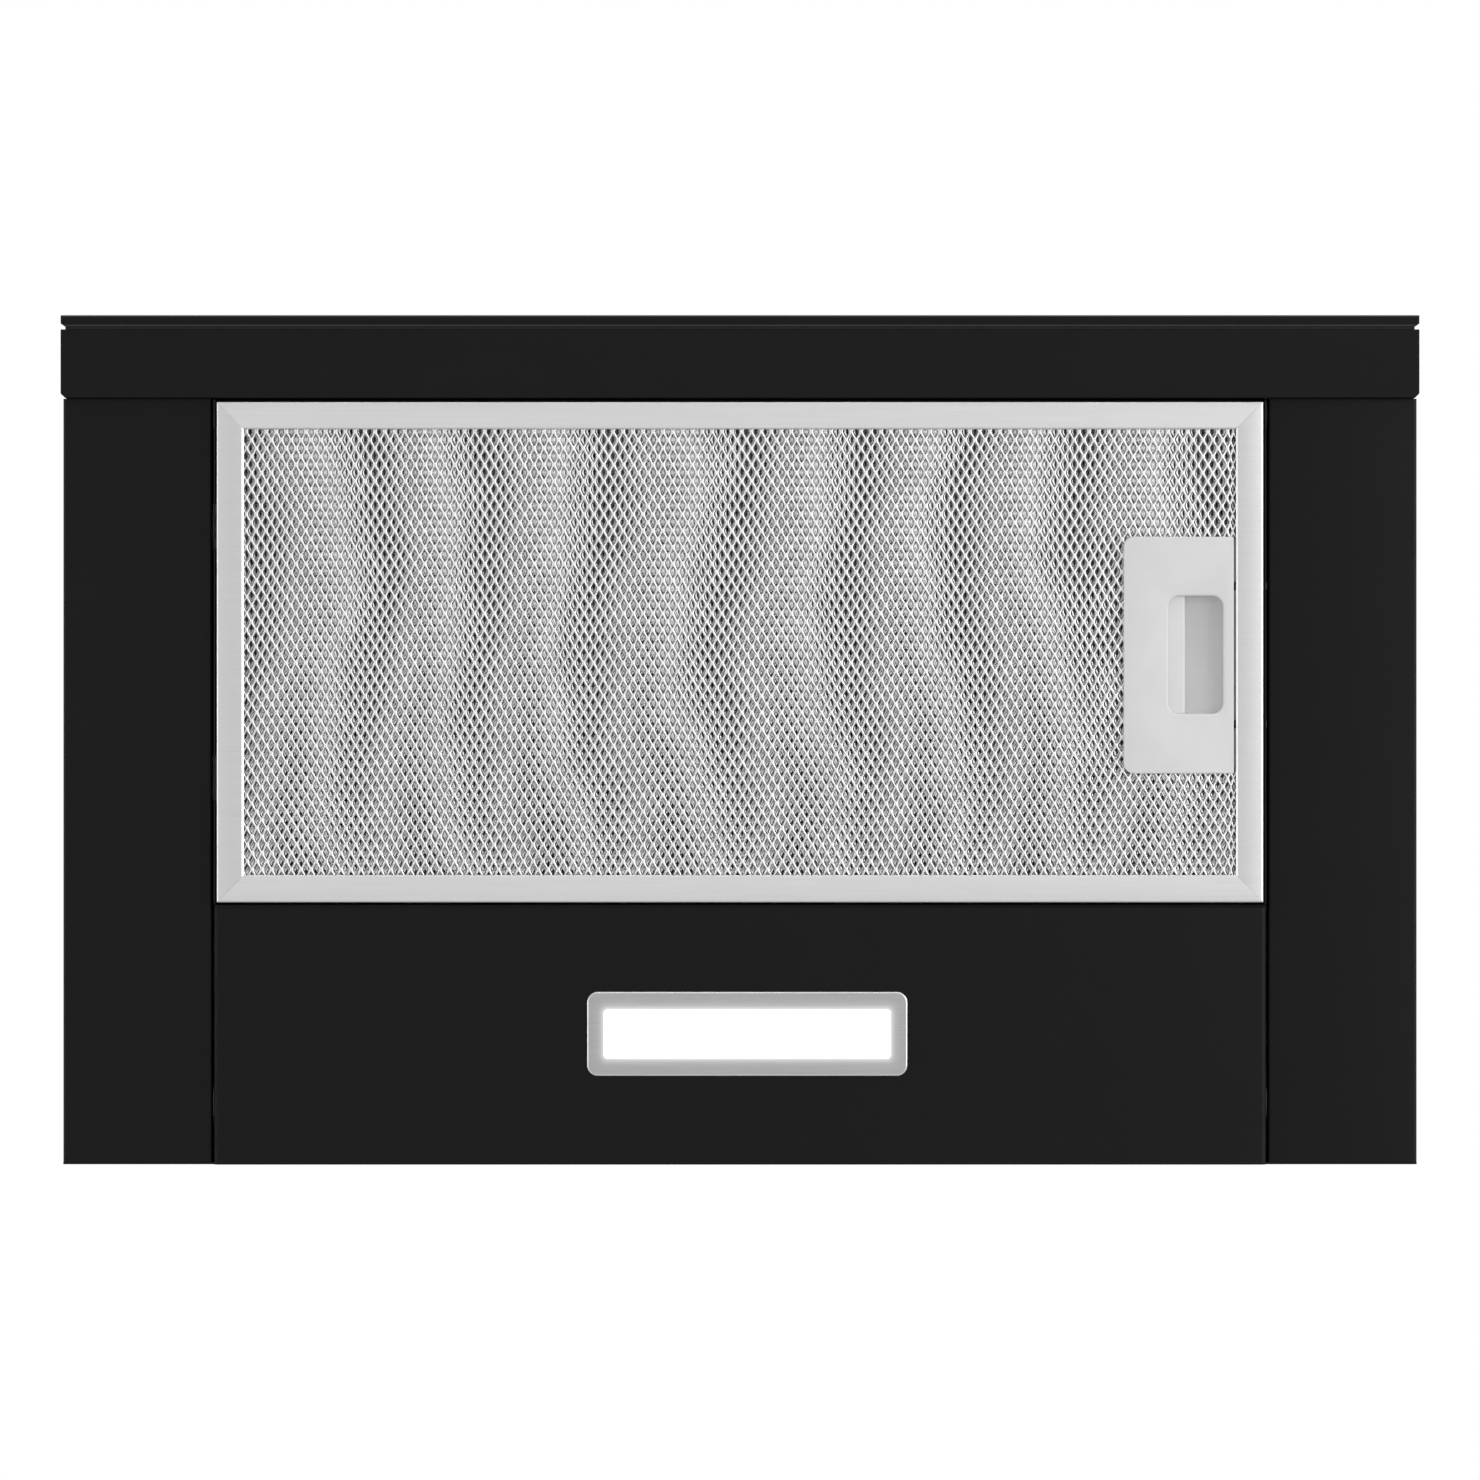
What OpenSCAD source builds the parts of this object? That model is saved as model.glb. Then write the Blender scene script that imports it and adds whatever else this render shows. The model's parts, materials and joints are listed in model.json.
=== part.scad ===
// Telescopic kitchen range hood, drawer closed.
// The underside faces down: +Z is up, -Y is the front, and the origin is the
// centre of the underside.

/* [Overall] */
// Width across the front trim
hood_w = 600; // [596:1:610]
// Depth from the trim's face to the back, drawer closed
hood_d = 375.2; // [375.2:0.4:380]
// Height of the flat tray
tray_h = 40; // [40:0.5:42]
// Top of the motor box
box_top = 180; // [180:1:190]
// Sheet metal thickness of the body
sheet = 1; // [0.9:0.05:1.1]

/* [Front] */
// Thickness of the front trim
trim_d = 5; // [4.5:0.1:5.5]
// Height of the front trim
trim_h = 42; // [41:0.5:46]
// Thickness of the gasket behind the trim
gasket_d = 1.3; // [1:0.1:1.5]
// Depth of the hollow front profile
profile_d = 30.3; // [28:0.1:31]
// Wall of the front profile
profile_t = 1.5; // [1.2:0.1:2]
// How far the drawer pulls out
drawer_travel = 170; // [120:5:170]

/* [Filter] */
// Width of the grease filter
filter_w = 462.5; // [460:0.5:463]
// Depth of the grease filter
filter_d = 221.4; // [218:0.2:221.4]
// Visible width of the filter frame's members
member_w = 11.4; // [10:0.1:12]
// Width of the latch plate
latch_w = 48.6; // [46:0.2:49]
// Length of the latch plate along the filter's edge
latch_l = 104.6; // [100:0.2:108]

/* [Lamp] */
// Width of the lamp's bezel
bezel_w = 141.6; // [138:0.2:144]
// Depth of the lamp's bezel
bezel_d = 37.3; // [36:0.1:39]
// Width of the lamp's lens
lens_w = 126.4; // [124:0.2:128]
// Depth of the lamp's lens
lens_d = 21.5; // [20:0.1:22]

/* [Blower] */
// Outside radius of the duct collar
duct_r = 75; // [74:0.5:76]
// Height of the duct collar
duct_h = 45; // [40:1:60]
// Radius of the impeller
impeller_r = 45; // [42:0.5:46]
// Number of impeller blades
blade_count = 32; // [20:1:36]

/* [Controls] */
// Radius of a push button
button_r = 6; // [5:0.5:7]
// Distance between push buttons
button_pitch = 22; // [18:1:24]

/* [Hidden] */
$fn = 64;
cut = 1;                            // how far a cutter runs past a face

// Depth stations, front to back
y_front = -hood_d / 2;
y_rear = hood_d / 2;
trim_y1 = y_front + trim_d;
gasket_y1 = trim_y1 + gasket_d;
profile_y1 = gasket_y1 + profile_d;
body_y0 = profile_y1 + 0.4;
half_w = hood_w / 2;

// Tray body
body_x = half_w - 0.7;              // outer face of the side panels
wall_x = body_x - sheet;            // inner face of the side panels
wing_z = 4;                         // underside of the side panels
rail_z = 10.2;                      // top of the pan's ledges
rail_t = 1.2;
rail_x = 270;
rail_d = 12;
wing_lip = 10;
deck_z = tray_h - sheet;
pan_x = 232.5;                      // outer face of the pan's side flanges
pan_t = 0.8;
pan_z = 1.5;                        // underside of the pan
wing_x = pan_x + 0.8;
ledge_w = 5.7;
deck_open = [190, 30, 150];         // half width, front and rear of the air opening

// Grease filter
filter_x = filter_w / 2;
filter_y0 = body_y0 + 1.1;
filter_y1 = filter_y0 + filter_d;
filter_z0 = 0.5;
filter_z1 = 9;
frame_t = 1;
frame_lip = 3.4;                    // the frame's upper flange is this much narrower
mesh_z = [2.2, 7.4];
mesh_inset = 2.2;
tab_z = [6, 7];
tab_reach = pan_x + 0.6;
tab_l = 20;
tab_ys = [filter_y0 + 45, filter_y1 - 65];
web_y0 = filter_y1 + 0.7;           // front edge of the pan's rear web

// Latch, near the filter's right edge
latch_x1 = 218.1;
latch_x0 = latch_x1 - latch_w;
latch_y1 = filter_y0 + 164.3;
latch_y0 = latch_y1 - latch_l;
latch_z = [0.9, 8.7];
latch_r = 4.5;
recess_x = [189.2, 213.4];
recess_y = [latch_y0 + 26.1, latch_y0 + 78.2];
recess_z1 = 7.5;
recess_r = 4.9;
slider_x = [184.5, 196.7];
slider_z = [2.9, 7.2];
cavity_x0 = 176;
cavity_z0 = 2.6;
bolt_w = 3.1;
bolt_gap = 3;                       // from the recess to a bolt arm
bolt_z0 = 4.9;
bolt_reach = pan_x + 0.6;
bolt_ys = [recess_y[0] - bolt_gap - bolt_w, recess_y[1] + bolt_gap];
channel_gap = 0.3;
spring_r = 1.5;
spring_wire = 0.3;
spring_turns = 6;
spring_ring = 12;                   // steps in one turn of the spring
spring_sides = 6;

// Lamp
lamp_x = 3.2;
lamp_y = 129.8;
bezel_r = 4.7;
lens_r = 1.6;
lens_flange = 1.5;
lamp_hole = 2;                      // gap from the lens flange to the pan's hole
housing_z1 = 22;
housing_t = 1;
led_count = 10;
led_size = 3;
board_t = 1.6;

// Slides
slide_y0 = body_y0 + 2.6;
slide_y = [slide_y0, slide_y0 + drawer_travel + 128];
slide_z = [8.5, 35.5];
slide_t = 1.2;
slide_w = 10;
slide_lip = 1;
slide_x0 = wall_x - slide_w;
inner_z = [14.5, 29.5];
inner_w = 6.2;
arm_y1 = profile_y1 + sheet + drawer_travel + 100;
arm_z = [9, 35];
arm_foot = 20;
foot_z = [14, 35];
foot_screws = [17.5, 31.5];
cage_y0 = slide_y0 + drawer_travel / 2 + 1;
cage_y = [cage_y0, cage_y0 + 90];
cage_t = 0.8;
cage_web_x = slide_x0 + 6.9;
cage_strip_x = slide_x0 + 1.7;
ball_r = 2.1;
ball_x = slide_x0 + 3.8;
balls_in_row = 7;

// Drawer
drawer_z = 13;
drawer_y1 = 28;
drawer_flange = 8;
visor_z = 36;
ext_x = 225;
ext_y = [-138, 18];
ext_seat = 3;
ext_member = 10;
ext_z = [drawer_z + sheet, drawer_z + sheet + 6];

// Blower
axis_y = 15;
axis_z = 106;
duct_y = 55;
scroll_x = 46;                      // half the scroll's inner width
scroll_t = 1;
scroll_r0 = impeller_r + 5;
scroll_r1 = impeller_r + 23;
tongue_a = 70;
scroll_steps = 48;
scroll_flange_r = 88;
scroll_flange_t = 1.2;
inlet_r = 40;
inlet_lip = 4;
box_x = 255;
box_y0 = -110;
box_flange = 12;
motor_r = 36;
motor_l = 44;
motor_wall = 2;
plate_r = 46;
plate_t = 1.5;
grommet_ring = 41;
grommet_h = 1.5;
grommet_r = 4.5;
shaft_r = 4;
fit_gap = 0.05;                     // radial running clearance
bush_r = 8;
stator_r = 32;
rotor_r = 18;
air_gap = 0.4;
motor_x1 = -scroll_x - scroll_t - grommet_h - plate_t;
motor_x0 = motor_x1 - motor_l;
hub_r = 10;
hub_l = 22;
blade_l = 7;
blade_t = 0.8;
blade_a = 35;
blade_side = 2;                     // clearance of the impeller at each side
eye_ring = 7;

// Duct collar and damper
collar_t = 1.5;
collar_flange_w = 12;
collar_step = 0.6;                  // shoulder by which the collar sits on its flange
seat_z = box_top + 5.9;
seat_t = 1.3;
seat_w = 3.5;
flap_r = duct_r - collar_t - 2;
flap_t = 1;
flap_z = seat_z + seat_t + 0.3;
flap_axis_z = flap_z + 1.7;
flap_axis_dy = 3;
flap_tube_r = 1.8;
flap_pin_r = 1.5;

// Controls
button_x0 = 200;
button_z = 21;
button_cap = 2.8;
button_stem_r = 2.5;
stem_end = y_front + 13.6;
stem_hole_r = 3.2;
board_y = y_front + 17.6;
switch_h = 1.7;
button_hole_r = button_r + fit_gap;

// Brackets and fasteners
bracket_y = [20, 120];
bracket_t = 2;
bracket_h = 60;
bracket_foot = 30;
bracket_hole_r = 2.5;
bracket_hole_z = tray_h + 40;
bracket_hole_dy = 60;
head_r = 3.5;
head_h = 2;
shank_r = 1.7;
gland_x = 200;
gland_y = 120;
gland_r = 9;
gland_bore = 3.6;

black = [0.13, 0.13, 0.13];
zinc = [0.72, 0.73, 0.74];
brushed = [0.82, 0.82, 0.82];
plastic = [0.85, 0.85, 0.85];

// A box given by its two corners
module block(lo, hi) {
    translate(lo) cube(hi - lo);
}

// A plate with round vertical corners, centred on c, from z0 to z1
module round_plate(c, size, r, z0, z1) {
    h = z1 - z0;
    translate([c[0], c[1], z0]) {
        translate([-size[0] / 2 + r, -size[1] / 2, 0]) cube([size[0] - 2 * r, size[1], h]);
        translate([-size[0] / 2, -size[1] / 2 + r, 0]) cube([size[0], size[1] - 2 * r, h]);
        for (sx = [-1, 1], sy = [-1, 1])
            translate([sx * (size[0] / 2 - r), sy * (size[1] / 2 - r), 0]) cylinder(r = r, h = h);
    }
}

// Draws its children on the right (1) or mirrored to the left (-1)
module on_side(side) {
    if (side > 0) children();
    else mirror([1, 0, 0]) children();
}

// A rod along X, from x0 to x1 through (y, z)
module rod_x(x0, x1, y, z, r) {
    translate([x0, y, z]) rotate([0, 90, 0]) cylinder(r = r, h = x1 - x0);
}

// A rod along Y, from y0 to y1 through (x, z)
module rod_y(x, y0, y1, z, r) {
    translate([x, y0, z]) rotate([-90, 0, 0]) cylinder(r = r, h = y1 - y0);
}

// ---- Tray body ----

module side_panel(side) {
    color(black) on_side(side) {
        block([wing_x, body_y0, wing_z], [body_x, y_rear - sheet, wing_z + sheet]);
        block([wall_x, body_y0, wing_z], [body_x, y_rear - sheet, deck_z]);
        block([wing_x, body_y0, wing_z], [wing_x + sheet, y_rear - sheet, rail_z]);
        block([wing_x, body_y0, rail_z - sheet], [wing_x + wing_lip, y_rear - sheet, rail_z]);
    }
}

// Openings for one latch bolt, cut along X between x0 and x1
module bolt_slots(x0, x1, gap) {
    for (y = bolt_ys)
        block([x0, y - gap, bolt_z0 - gap], [x1, y + bolt_w + gap, slider_z[1] + gap]);
}

module bottom_pan() {
    inner = pan_x - pan_t;
    color(black) difference() {
        union() {
            block([-pan_x, web_y0, pan_z], [pan_x, y_rear, pan_z + pan_t]);
            block([-pan_x, web_y0, pan_z], [pan_x, web_y0 + pan_t, rail_z]);
            block([-pan_x, y_rear - sheet - pan_t, pan_z], [pan_x, y_rear - sheet, rail_z]);
            for (side = [-1, 1]) on_side(side) {
                block([inner, body_y0, pan_z], [pan_x, y_rear - sheet, rail_z]);
                block([inner - ledge_w, body_y0, rail_z - pan_t], [pan_x, web_y0, rail_z]);
            }
            block([-pan_x, body_y0, rail_z - pan_t], [pan_x, body_y0 + ledge_w, rail_z]);
            block([-pan_x, web_y0 - ledge_w, rail_z - pan_t], [pan_x, web_y0 + pan_t, rail_z]);
        }
        block([lamp_x - lens_w / 2 - lamp_hole, lamp_y - lens_d / 2 - lamp_hole, 0],
              [lamp_x + lens_w / 2 + lamp_hole, lamp_y + lens_d / 2 + lamp_hole, rail_z]);
        bolt_slots(inner - cut / 2, pan_x + cut, 0.6);
        for (y = tab_ys)
            block([-pan_x - cut, y - 0.6, tab_z[0] - 1], [-inner + cut / 2, y + tab_l + 0.6, tab_z[1] + 1.2]);
    }
}

module back_panel() {
    color(black) block([-body_x, y_rear - sheet, wing_z], [body_x, y_rear, deck_z]);
}

module deck_plate() {
    color(zinc) difference() {
        block([-body_x, body_y0, deck_z], [body_x, y_rear, tray_h]);
        block([-deck_open[0], deck_open[1], deck_z - cut], [deck_open[0], deck_open[2], tray_h + cut]);
        box_screws(shank_r, deck_z - cut, sheet + 2 * cut);
    }
}

module cross_rails() {
    color(zinc) for (y = [body_y0, y_rear - sheet - rail_d - 20])
        block([-rail_x, y, rail_z], [rail_x, y + rail_d, rail_z + rail_t]);
}

module box_frame() {
    w = box_x + box_flange;
    color(zinc) difference() {
        block([-w, box_y0 - box_flange, tray_h], [w, y_rear, tray_h + sheet]);
        block([-box_x, box_y0, tray_h - cut], [box_x, y_rear + cut, tray_h + sheet + cut]);
        box_screws(shank_r, tray_h - cut, sheet + 2 * cut);
    }
}

module motor_box() {
    roof_z = box_top - sheet - cut;
    roof_h = sheet + 2 * cut;
    color(zinc) difference() {
        block([-box_x, box_y0, tray_h], [box_x, y_rear, box_top]);
        block([-box_x + sheet, box_y0 + sheet, tray_h - cut],
              [box_x - sheet, y_rear - sheet, box_top - sheet]);
        translate([0, duct_y, roof_z]) cylinder(r = duct_r - collar_t, h = roof_h);
        translate([gland_x, gland_y, roof_z]) cylinder(r = gland_r - 2, h = roof_h);
        collar_screws(shank_r, roof_z, roof_h);
    }
}

module mounting_bracket(side) {
    mid_y = (bracket_y[0] + bracket_y[1]) / 2;
    outer = half_w - 0.2;
    color(zinc) on_side(side) difference() {
        union() {
            block([outer - bracket_t, bracket_y[0], tray_h], [outer, bracket_y[1], tray_h + bracket_h]);
            block([outer - bracket_foot, bracket_y[0], tray_h], [outer, bracket_y[1], tray_h + bracket_t]);
        }
        for (dy = [-1, 1] * bracket_hole_dy / 2)
            rod_x(outer - bracket_t - cut, outer + cut, mid_y + dy, bracket_hole_z, bracket_hole_r);
    }
}

// ---- Drawer slides ----

module slide_outer(side) {
    x1 = wall_x;
    y0 = slide_y[0];
    y1 = slide_y[1];
    low = slide_z[0] + slide_t;
    top = slide_z[1] - slide_t;
    color(zinc) on_side(side) {
        block([x1 - slide_t, y0, slide_z[0]], [x1, y1, slide_z[1]]);
        block([slide_x0, y0, slide_z[0]], [x1, y1, low]);
        block([slide_x0, y0, top], [x1, y1, slide_z[1]]);
        block([slide_x0, y0, top - slide_lip], [slide_x0 + slide_lip, y1, slide_z[1]]);
        block([slide_x0, y0, slide_z[0]], [slide_x0 + slide_lip, y1, low + slide_lip]);
    }
}

module slide_inner(side) {
    color(zinc) on_side(side) {
        block([slide_x0, profile_y1 + sheet, inner_z[0]], [slide_x0 + slide_t, arm_y1, inner_z[1]]);
        for (z = [inner_z[0], inner_z[1] - slide_t])
            block([slide_x0, profile_y1 + sheet, z], [slide_x0 + inner_w, arm_y1, z + slide_t]);
    }
}

module ball_cages() {
    top_z = (inner_z[1] + slide_z[1] - slide_t) / 2;
    low_z = (inner_z[0] + slide_z[0] + slide_t) / 2;
    pitch = (cage_y[1] - cage_y[0]) / balls_in_row;
    web_x1 = cage_web_x + cage_t;
    half_t = cage_t / 2;
    color(zinc) for (side = [-1, 1]) on_side(side) {
        block([cage_web_x, cage_y[0], low_z - half_t], [web_x1, cage_y[1], top_z + half_t]);
        for (z = [low_z, top_z]) {
            block([cage_strip_x, cage_y[0], z - half_t], [web_x1, cage_y[1], z + half_t]);
            for (i = [0 : balls_in_row - 1])
                translate([ball_x, cage_y[0] + (i + 0.5) * pitch, z]) sphere(r = ball_r);
        }
    }
}

// ---- Blower ----

// Spiral outline of the scroll in Y and Z, w mm outside its inner surface
function scroll_radius(a) = scroll_r0 + (scroll_r1 - scroll_r0) * (a - tongue_a) / (360 - tongue_a);
function scroll_point(a, w) = [
    axis_y + (scroll_radius(a) + w) * cos(a),
    axis_z + (scroll_radius(a) + w) * sin(a)
];
function scroll_outline(w, top) = concat(
    [for (i = [0 : scroll_steps]) scroll_point(tongue_a + (360 - tongue_a) * i / scroll_steps, w)],
    [[axis_y + scroll_r1 + w, top], [scroll_point(tongue_a, w)[0] - w, top]]
);

module scroll_prism(x0, x1, w, top) {
    translate([x0, 0, 0]) rotate([90, 0, 90]) linear_extrude(height = x1 - x0)
        polygon(scroll_outline(w, top));
}

module blower_scroll() {
    top = box_top - sheet;
    left = -scroll_x - scroll_t;
    color(zinc) difference() {
        union() {
            scroll_prism(left, scroll_x, scroll_t, top);
            translate([0, duct_y, top - scroll_flange_t]) cylinder(r = scroll_flange_r, h = scroll_flange_t);
        }
        scroll_prism(-scroll_x, scroll_x, 0, top + cut);
        scroll_prism(0, scroll_x + cut, 0, top - scroll_flange_t);
        rod_x(left - cut, -scroll_x + cut, axis_y, axis_z, hub_r + 4);
        grommet_rods(left - cut, -scroll_x + cut, shank_r);
    }
}

module scroll_cover() {
    color(zinc) difference() {
        union() {
            scroll_prism(scroll_x, scroll_x + scroll_t, scroll_t, box_top - sheet - scroll_flange_t);
            rod_x(scroll_x, scroll_x + scroll_t + inlet_lip, axis_y, axis_z, inlet_r + 2);
        }
        rod_x(scroll_x - cut, scroll_x + scroll_t + inlet_lip + cut, axis_y, axis_z, inlet_r);
    }
}

module inlet_guard() {
    x0 = scroll_x + scroll_t + inlet_lip;
    bar = 1.6;
    color(zinc) {
        for (r = [12, 24, inlet_r + 2]) difference() {
            rod_x(x0, x0 + bar, axis_y, axis_z, r);
            rod_x(x0 - cut, x0 + bar + cut, axis_y, axis_z, r - 2);
        }
        for (a = [0, 60, 120]) translate([x0, axis_y, axis_z]) rotate([a, 0, 0])
            translate([0, -inlet_r - 1, -bar / 2]) cube([bar, 2 * inlet_r + 2, bar]);
    }
}

module motor_can() {
    color(zinc) difference() {
        rod_x(motor_x0, motor_x1, axis_y, axis_z, motor_r);
        rod_x(motor_x0 + motor_wall, motor_x1 - motor_wall, axis_y, axis_z, motor_r - motor_wall);
        rod_x(motor_x0 - cut, motor_x1 + cut, axis_y, axis_z, bush_r);
    }
}

module stator() {
    inset = 8;
    tooth_w = 7;
    color([0.6, 0.33, 0.18]) difference() {
        rod_x(motor_x0 + inset, motor_x1 - inset, axis_y, axis_z, motor_r - motor_wall);
        rod_x(motor_x0, motor_x1, axis_y, axis_z, rotor_r + air_gap);
        for (a = [0 : 60 : 300]) translate([motor_x0, axis_y, axis_z]) rotate([a, 0, 0])
            translate([0, rotor_r + 3, -tooth_w / 2]) cube([motor_l, stator_r - rotor_r - 6, tooth_w]);
    }
}

module motor_rotor() {
    inset = 9;
    shaft_x0 = motor_x0 - 4;
    color(brushed) {
        rod_x(shaft_x0, -scroll_x + blade_side + hub_l + 1, axis_y, axis_z, shaft_r);
        rod_x(motor_x0 + inset, motor_x1 - inset, axis_y, axis_z, rotor_r);
    }
}

module bearing_bushes() {
    color([0.7, 0.55, 0.25]) for (x = [motor_x0, motor_x1 - motor_wall - 3]) difference() {
        rod_x(x, x + motor_wall + 3, axis_y, axis_z, bush_r);
        rod_x(x - cut, x + motor_wall + 3 + cut, axis_y, axis_z, shaft_r + fit_gap);
    }
}

// Rods along X at the three places where the motor hangs in its grommets
module grommet_rods(x0, x1, r) {
    for (a = [90, 210, 330])
        rod_x(x0, x1, axis_y + grommet_ring * cos(a), axis_z + grommet_ring * sin(a), r);
}

module motor_bracket() {
    color(zinc) difference() {
        rod_x(motor_x1, motor_x1 + plate_t, axis_y, axis_z, plate_r);
        rod_x(motor_x1 - cut, motor_x1 + plate_t + cut, axis_y, axis_z, bush_r);
        grommet_rods(motor_x1 - cut, motor_x1 + plate_t + cut, shank_r);
    }
}

module motor_grommets() {
    x0 = motor_x1 + plate_t;
    color([0.1, 0.1, 0.1]) difference() {
        grommet_rods(x0, x0 + grommet_h, grommet_r);
        grommet_rods(x0 - cut, x0 + grommet_h + cut, shank_r);
    }
}

module impeller() {
    x0 = -scroll_x + blade_side;
    x1 = scroll_x - blade_side;
    color([0.25, 0.25, 0.27]) difference() {
        union() {
            rod_x(x0, x0 + 1.5, axis_y, axis_z, impeller_r);
            rod_x(x0, x0 + hub_l, axis_y, axis_z, hub_r);
            difference() {
                rod_x(x1 - 1.5, x1, axis_y, axis_z, impeller_r);
                rod_x(x1 - 1.5 - cut, x1 + cut, axis_y, axis_z, impeller_r - eye_ring);
            }
            translate([x0, axis_y, axis_z]) for (i = [0 : blade_count - 1])
                rotate([i * 360 / blade_count, 0, 0]) translate([0, impeller_r - eye_ring + 0.6, 0])
                    rotate([blade_a, 0, 0]) cube([x1 - x0, blade_l, blade_t]);
        }
        rod_x(x0 - cut, x0 + hub_l + cut, axis_y, axis_z, shaft_r);
    }
}

module capacitor() {
    color([0.9, 0.9, 0.88]) rod_x(-210, -150, -60, tray_h + 15, 15);
}

module terminal_box() {
    color([0.2, 0.2, 0.2]) difference() {
        block([150, -100, tray_h], [235, -40, tray_h + 32]);
        block([152, -98, tray_h + 2], [233, -42, tray_h + 32 + cut]);
    }
}

module terminal_lid() {
    color([0.2, 0.2, 0.2]) {
        block([150, -100, tray_h + 32], [235, -40, tray_h + 34]);
        block([152.2, -97.8, tray_h + 29], [232.8, -95.8, tray_h + 32]);
        block([152.2, -44.2, tray_h + 29], [232.8, -42.2, tray_h + 32]);
    }
}

module cable_gland() {
    color([0.1, 0.1, 0.1]) translate([gland_x, gland_y, 0]) difference() {
        union() {
            translate([0, 0, box_top]) cylinder(r = gland_r, h = 4, $fn = 6);
            translate([0, 0, box_top + 4]) cylinder(r = gland_r - 2.5, h = 8);
            translate([0, 0, box_top - 10]) cylinder(r = gland_r - 2, h = 10);
        }
        translate([0, 0, box_top - 10 - cut]) cylinder(r = gland_bore, h = 22 + 2 * cut);
    }
}

module led_driver() {
    color(plastic) round_plate([-150, lamp_y], [70, 34], 3, pan_z + pan_t, 21);
}

// ---- Duct collar and damper ----

module collar_flange() {
    color([0.16, 0.16, 0.16]) difference() {
        translate([0, duct_y, box_top]) cylinder(r = duct_r + collar_flange_w, h = collar_t);
        translate([0, duct_y, box_top - cut]) cylinder(r = duct_r - collar_step, h = collar_t + 2 * cut);
        collar_screws(shank_r, box_top - cut, collar_t + 2 * cut);
    }
}

module duct_collar() {
    inner = duct_r - collar_t;
    color([0.16, 0.16, 0.16]) difference() {
        translate([0, duct_y, 0]) {
            difference() {
                union() {
                    translate([0, 0, box_top]) cylinder(r = duct_r - collar_step, h = collar_t);
                    translate([0, 0, box_top + collar_t]) cylinder(r = duct_r, h = duct_h - collar_t);
                }
                translate([0, 0, box_top - cut]) cylinder(r = inner, h = duct_h + 2 * cut);
            }
            difference() {
                translate([0, 0, seat_z]) cylinder(r = duct_r - collar_t / 2, h = seat_t);
                translate([0, 0, seat_z - cut]) cylinder(r = inner - seat_w, h = seat_t + 2 * cut);
            }
        }
        for (s = [-1, 1])
            rod_x(-duct_r - cut, duct_r + cut, duct_y + s * flap_axis_dy, flap_axis_z, flap_pin_r + fit_gap);
    }
}

// One half of the damper: the rear half, or mirrored to the front
module damper_flap(s) {
    color([0.2, 0.2, 0.2]) translate([0, duct_y, 0]) scale([1, s, 1]) {
        intersection() {
            translate([0, 0, flap_z]) cylinder(r = flap_r, h = flap_t);
            block([-flap_r, flap_axis_dy, flap_z], [flap_r, flap_r, flap_z + flap_t]);
        }
        rod_x(-flap_r + 3, flap_r - 3, flap_axis_dy, flap_axis_z, flap_tube_r);
        rod_x(-duct_r + 0.4, duct_r - 0.4, flap_axis_dy, flap_axis_z, flap_pin_r);
    }
}

// Rods up along Z at the collar flange's four screws
module collar_screws(r, z, h) {
    ring = duct_r + 7;
    for (a = [45 : 90 : 315])
        translate([ring * cos(a), duct_y + ring * sin(a), z]) cylinder(r = r, h = h);
}

// Rods up along Z at the screws that hold the motor box to the deck
module box_screws(r, z, h) {
    side = box_flange / 2;
    for (x = [-box_x - side, box_x + side], y = [-80, 150])
        translate([x, y, z]) cylinder(r = r, h = h);
    for (x = [-160, 160])
        translate([x, box_y0 - side, z]) cylinder(r = r, h = h);
}

module body_screws() {
    color(zinc) {
        box_screws(shank_r, deck_z, 2 * sheet);
        box_screws(head_r, tray_h + sheet, head_h);
        collar_screws(shank_r, box_top - sheet, sheet + collar_t);
        collar_screws(head_r, box_top + collar_t, head_h);
        grommet_rods(motor_x1 - head_h, motor_x1, head_r);
        grommet_rods(motor_x1, -scroll_x, shank_r);
    }
}

// ---- Lamp ----

module lamp_bezel() {
    color(brushed) difference() {
        round_plate([lamp_x, lamp_y], [bezel_w, bezel_d], bezel_r, filter_z0, pan_z);
        round_plate([lamp_x, lamp_y], [lens_w, lens_d], lens_r, filter_z0 - cut, pan_z + cut);
    }
}

module lamp_lens() {
    flange = 2 * lens_flange;
    color("white") {
        round_plate([lamp_x, lamp_y], [lens_w, lens_d], lens_r, filter_z0, pan_z + pan_t);
        round_plate([lamp_x, lamp_y], [lens_w + flange, lens_d + flange], lens_r, pan_z, pan_z + pan_t);
    }
}

module lamp_housing() {
    w = lens_w / 2 + lamp_hole + 2;
    d = lens_d / 2 + lamp_hole + 2;
    z0 = pan_z + pan_t;
    color(zinc) difference() {
        union() {
            block([lamp_x - w, lamp_y - d, z0], [lamp_x + w, lamp_y + d, housing_z1]);
            block([lamp_x - w - 6, lamp_y - d, z0], [lamp_x + w + 6, lamp_y + d, z0 + housing_t]);
        }
        block([lamp_x - w + housing_t, lamp_y - d + housing_t, z0 - cut],
              [lamp_x + w - housing_t, lamp_y + d - housing_t, housing_z1 - housing_t]);
    }
}

module lamp_led_board() {
    z1 = housing_z1 - housing_t;
    pitch = (lens_w - 12) / led_count;
    color([0.95, 0.95, 0.9]) translate([lamp_x, lamp_y, z1 - board_t]) {
        block([-lens_w / 2, -lens_d / 2, 0], [lens_w / 2, lens_d / 2, board_t]);
        for (i = [0 : led_count - 1])
            translate([(i + 0.5 - led_count / 2) * pitch - led_size / 2, -led_size / 2, -1])
                cube([led_size, led_size, 1]);
    }
}

module drawer_switch() {
    color([0.15, 0.15, 0.16]) {
        block([268, arm_y1 + 6, 14], [284, arm_y1 + 22, 26]);
        block([270, arm_y1 + 8, wing_z + sheet], [282, arm_y1 + 20, 14]);
        block([275, arm_y1 + 2.6, 18], [278, arm_y1 + 6, 21]);
    }
}

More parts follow.
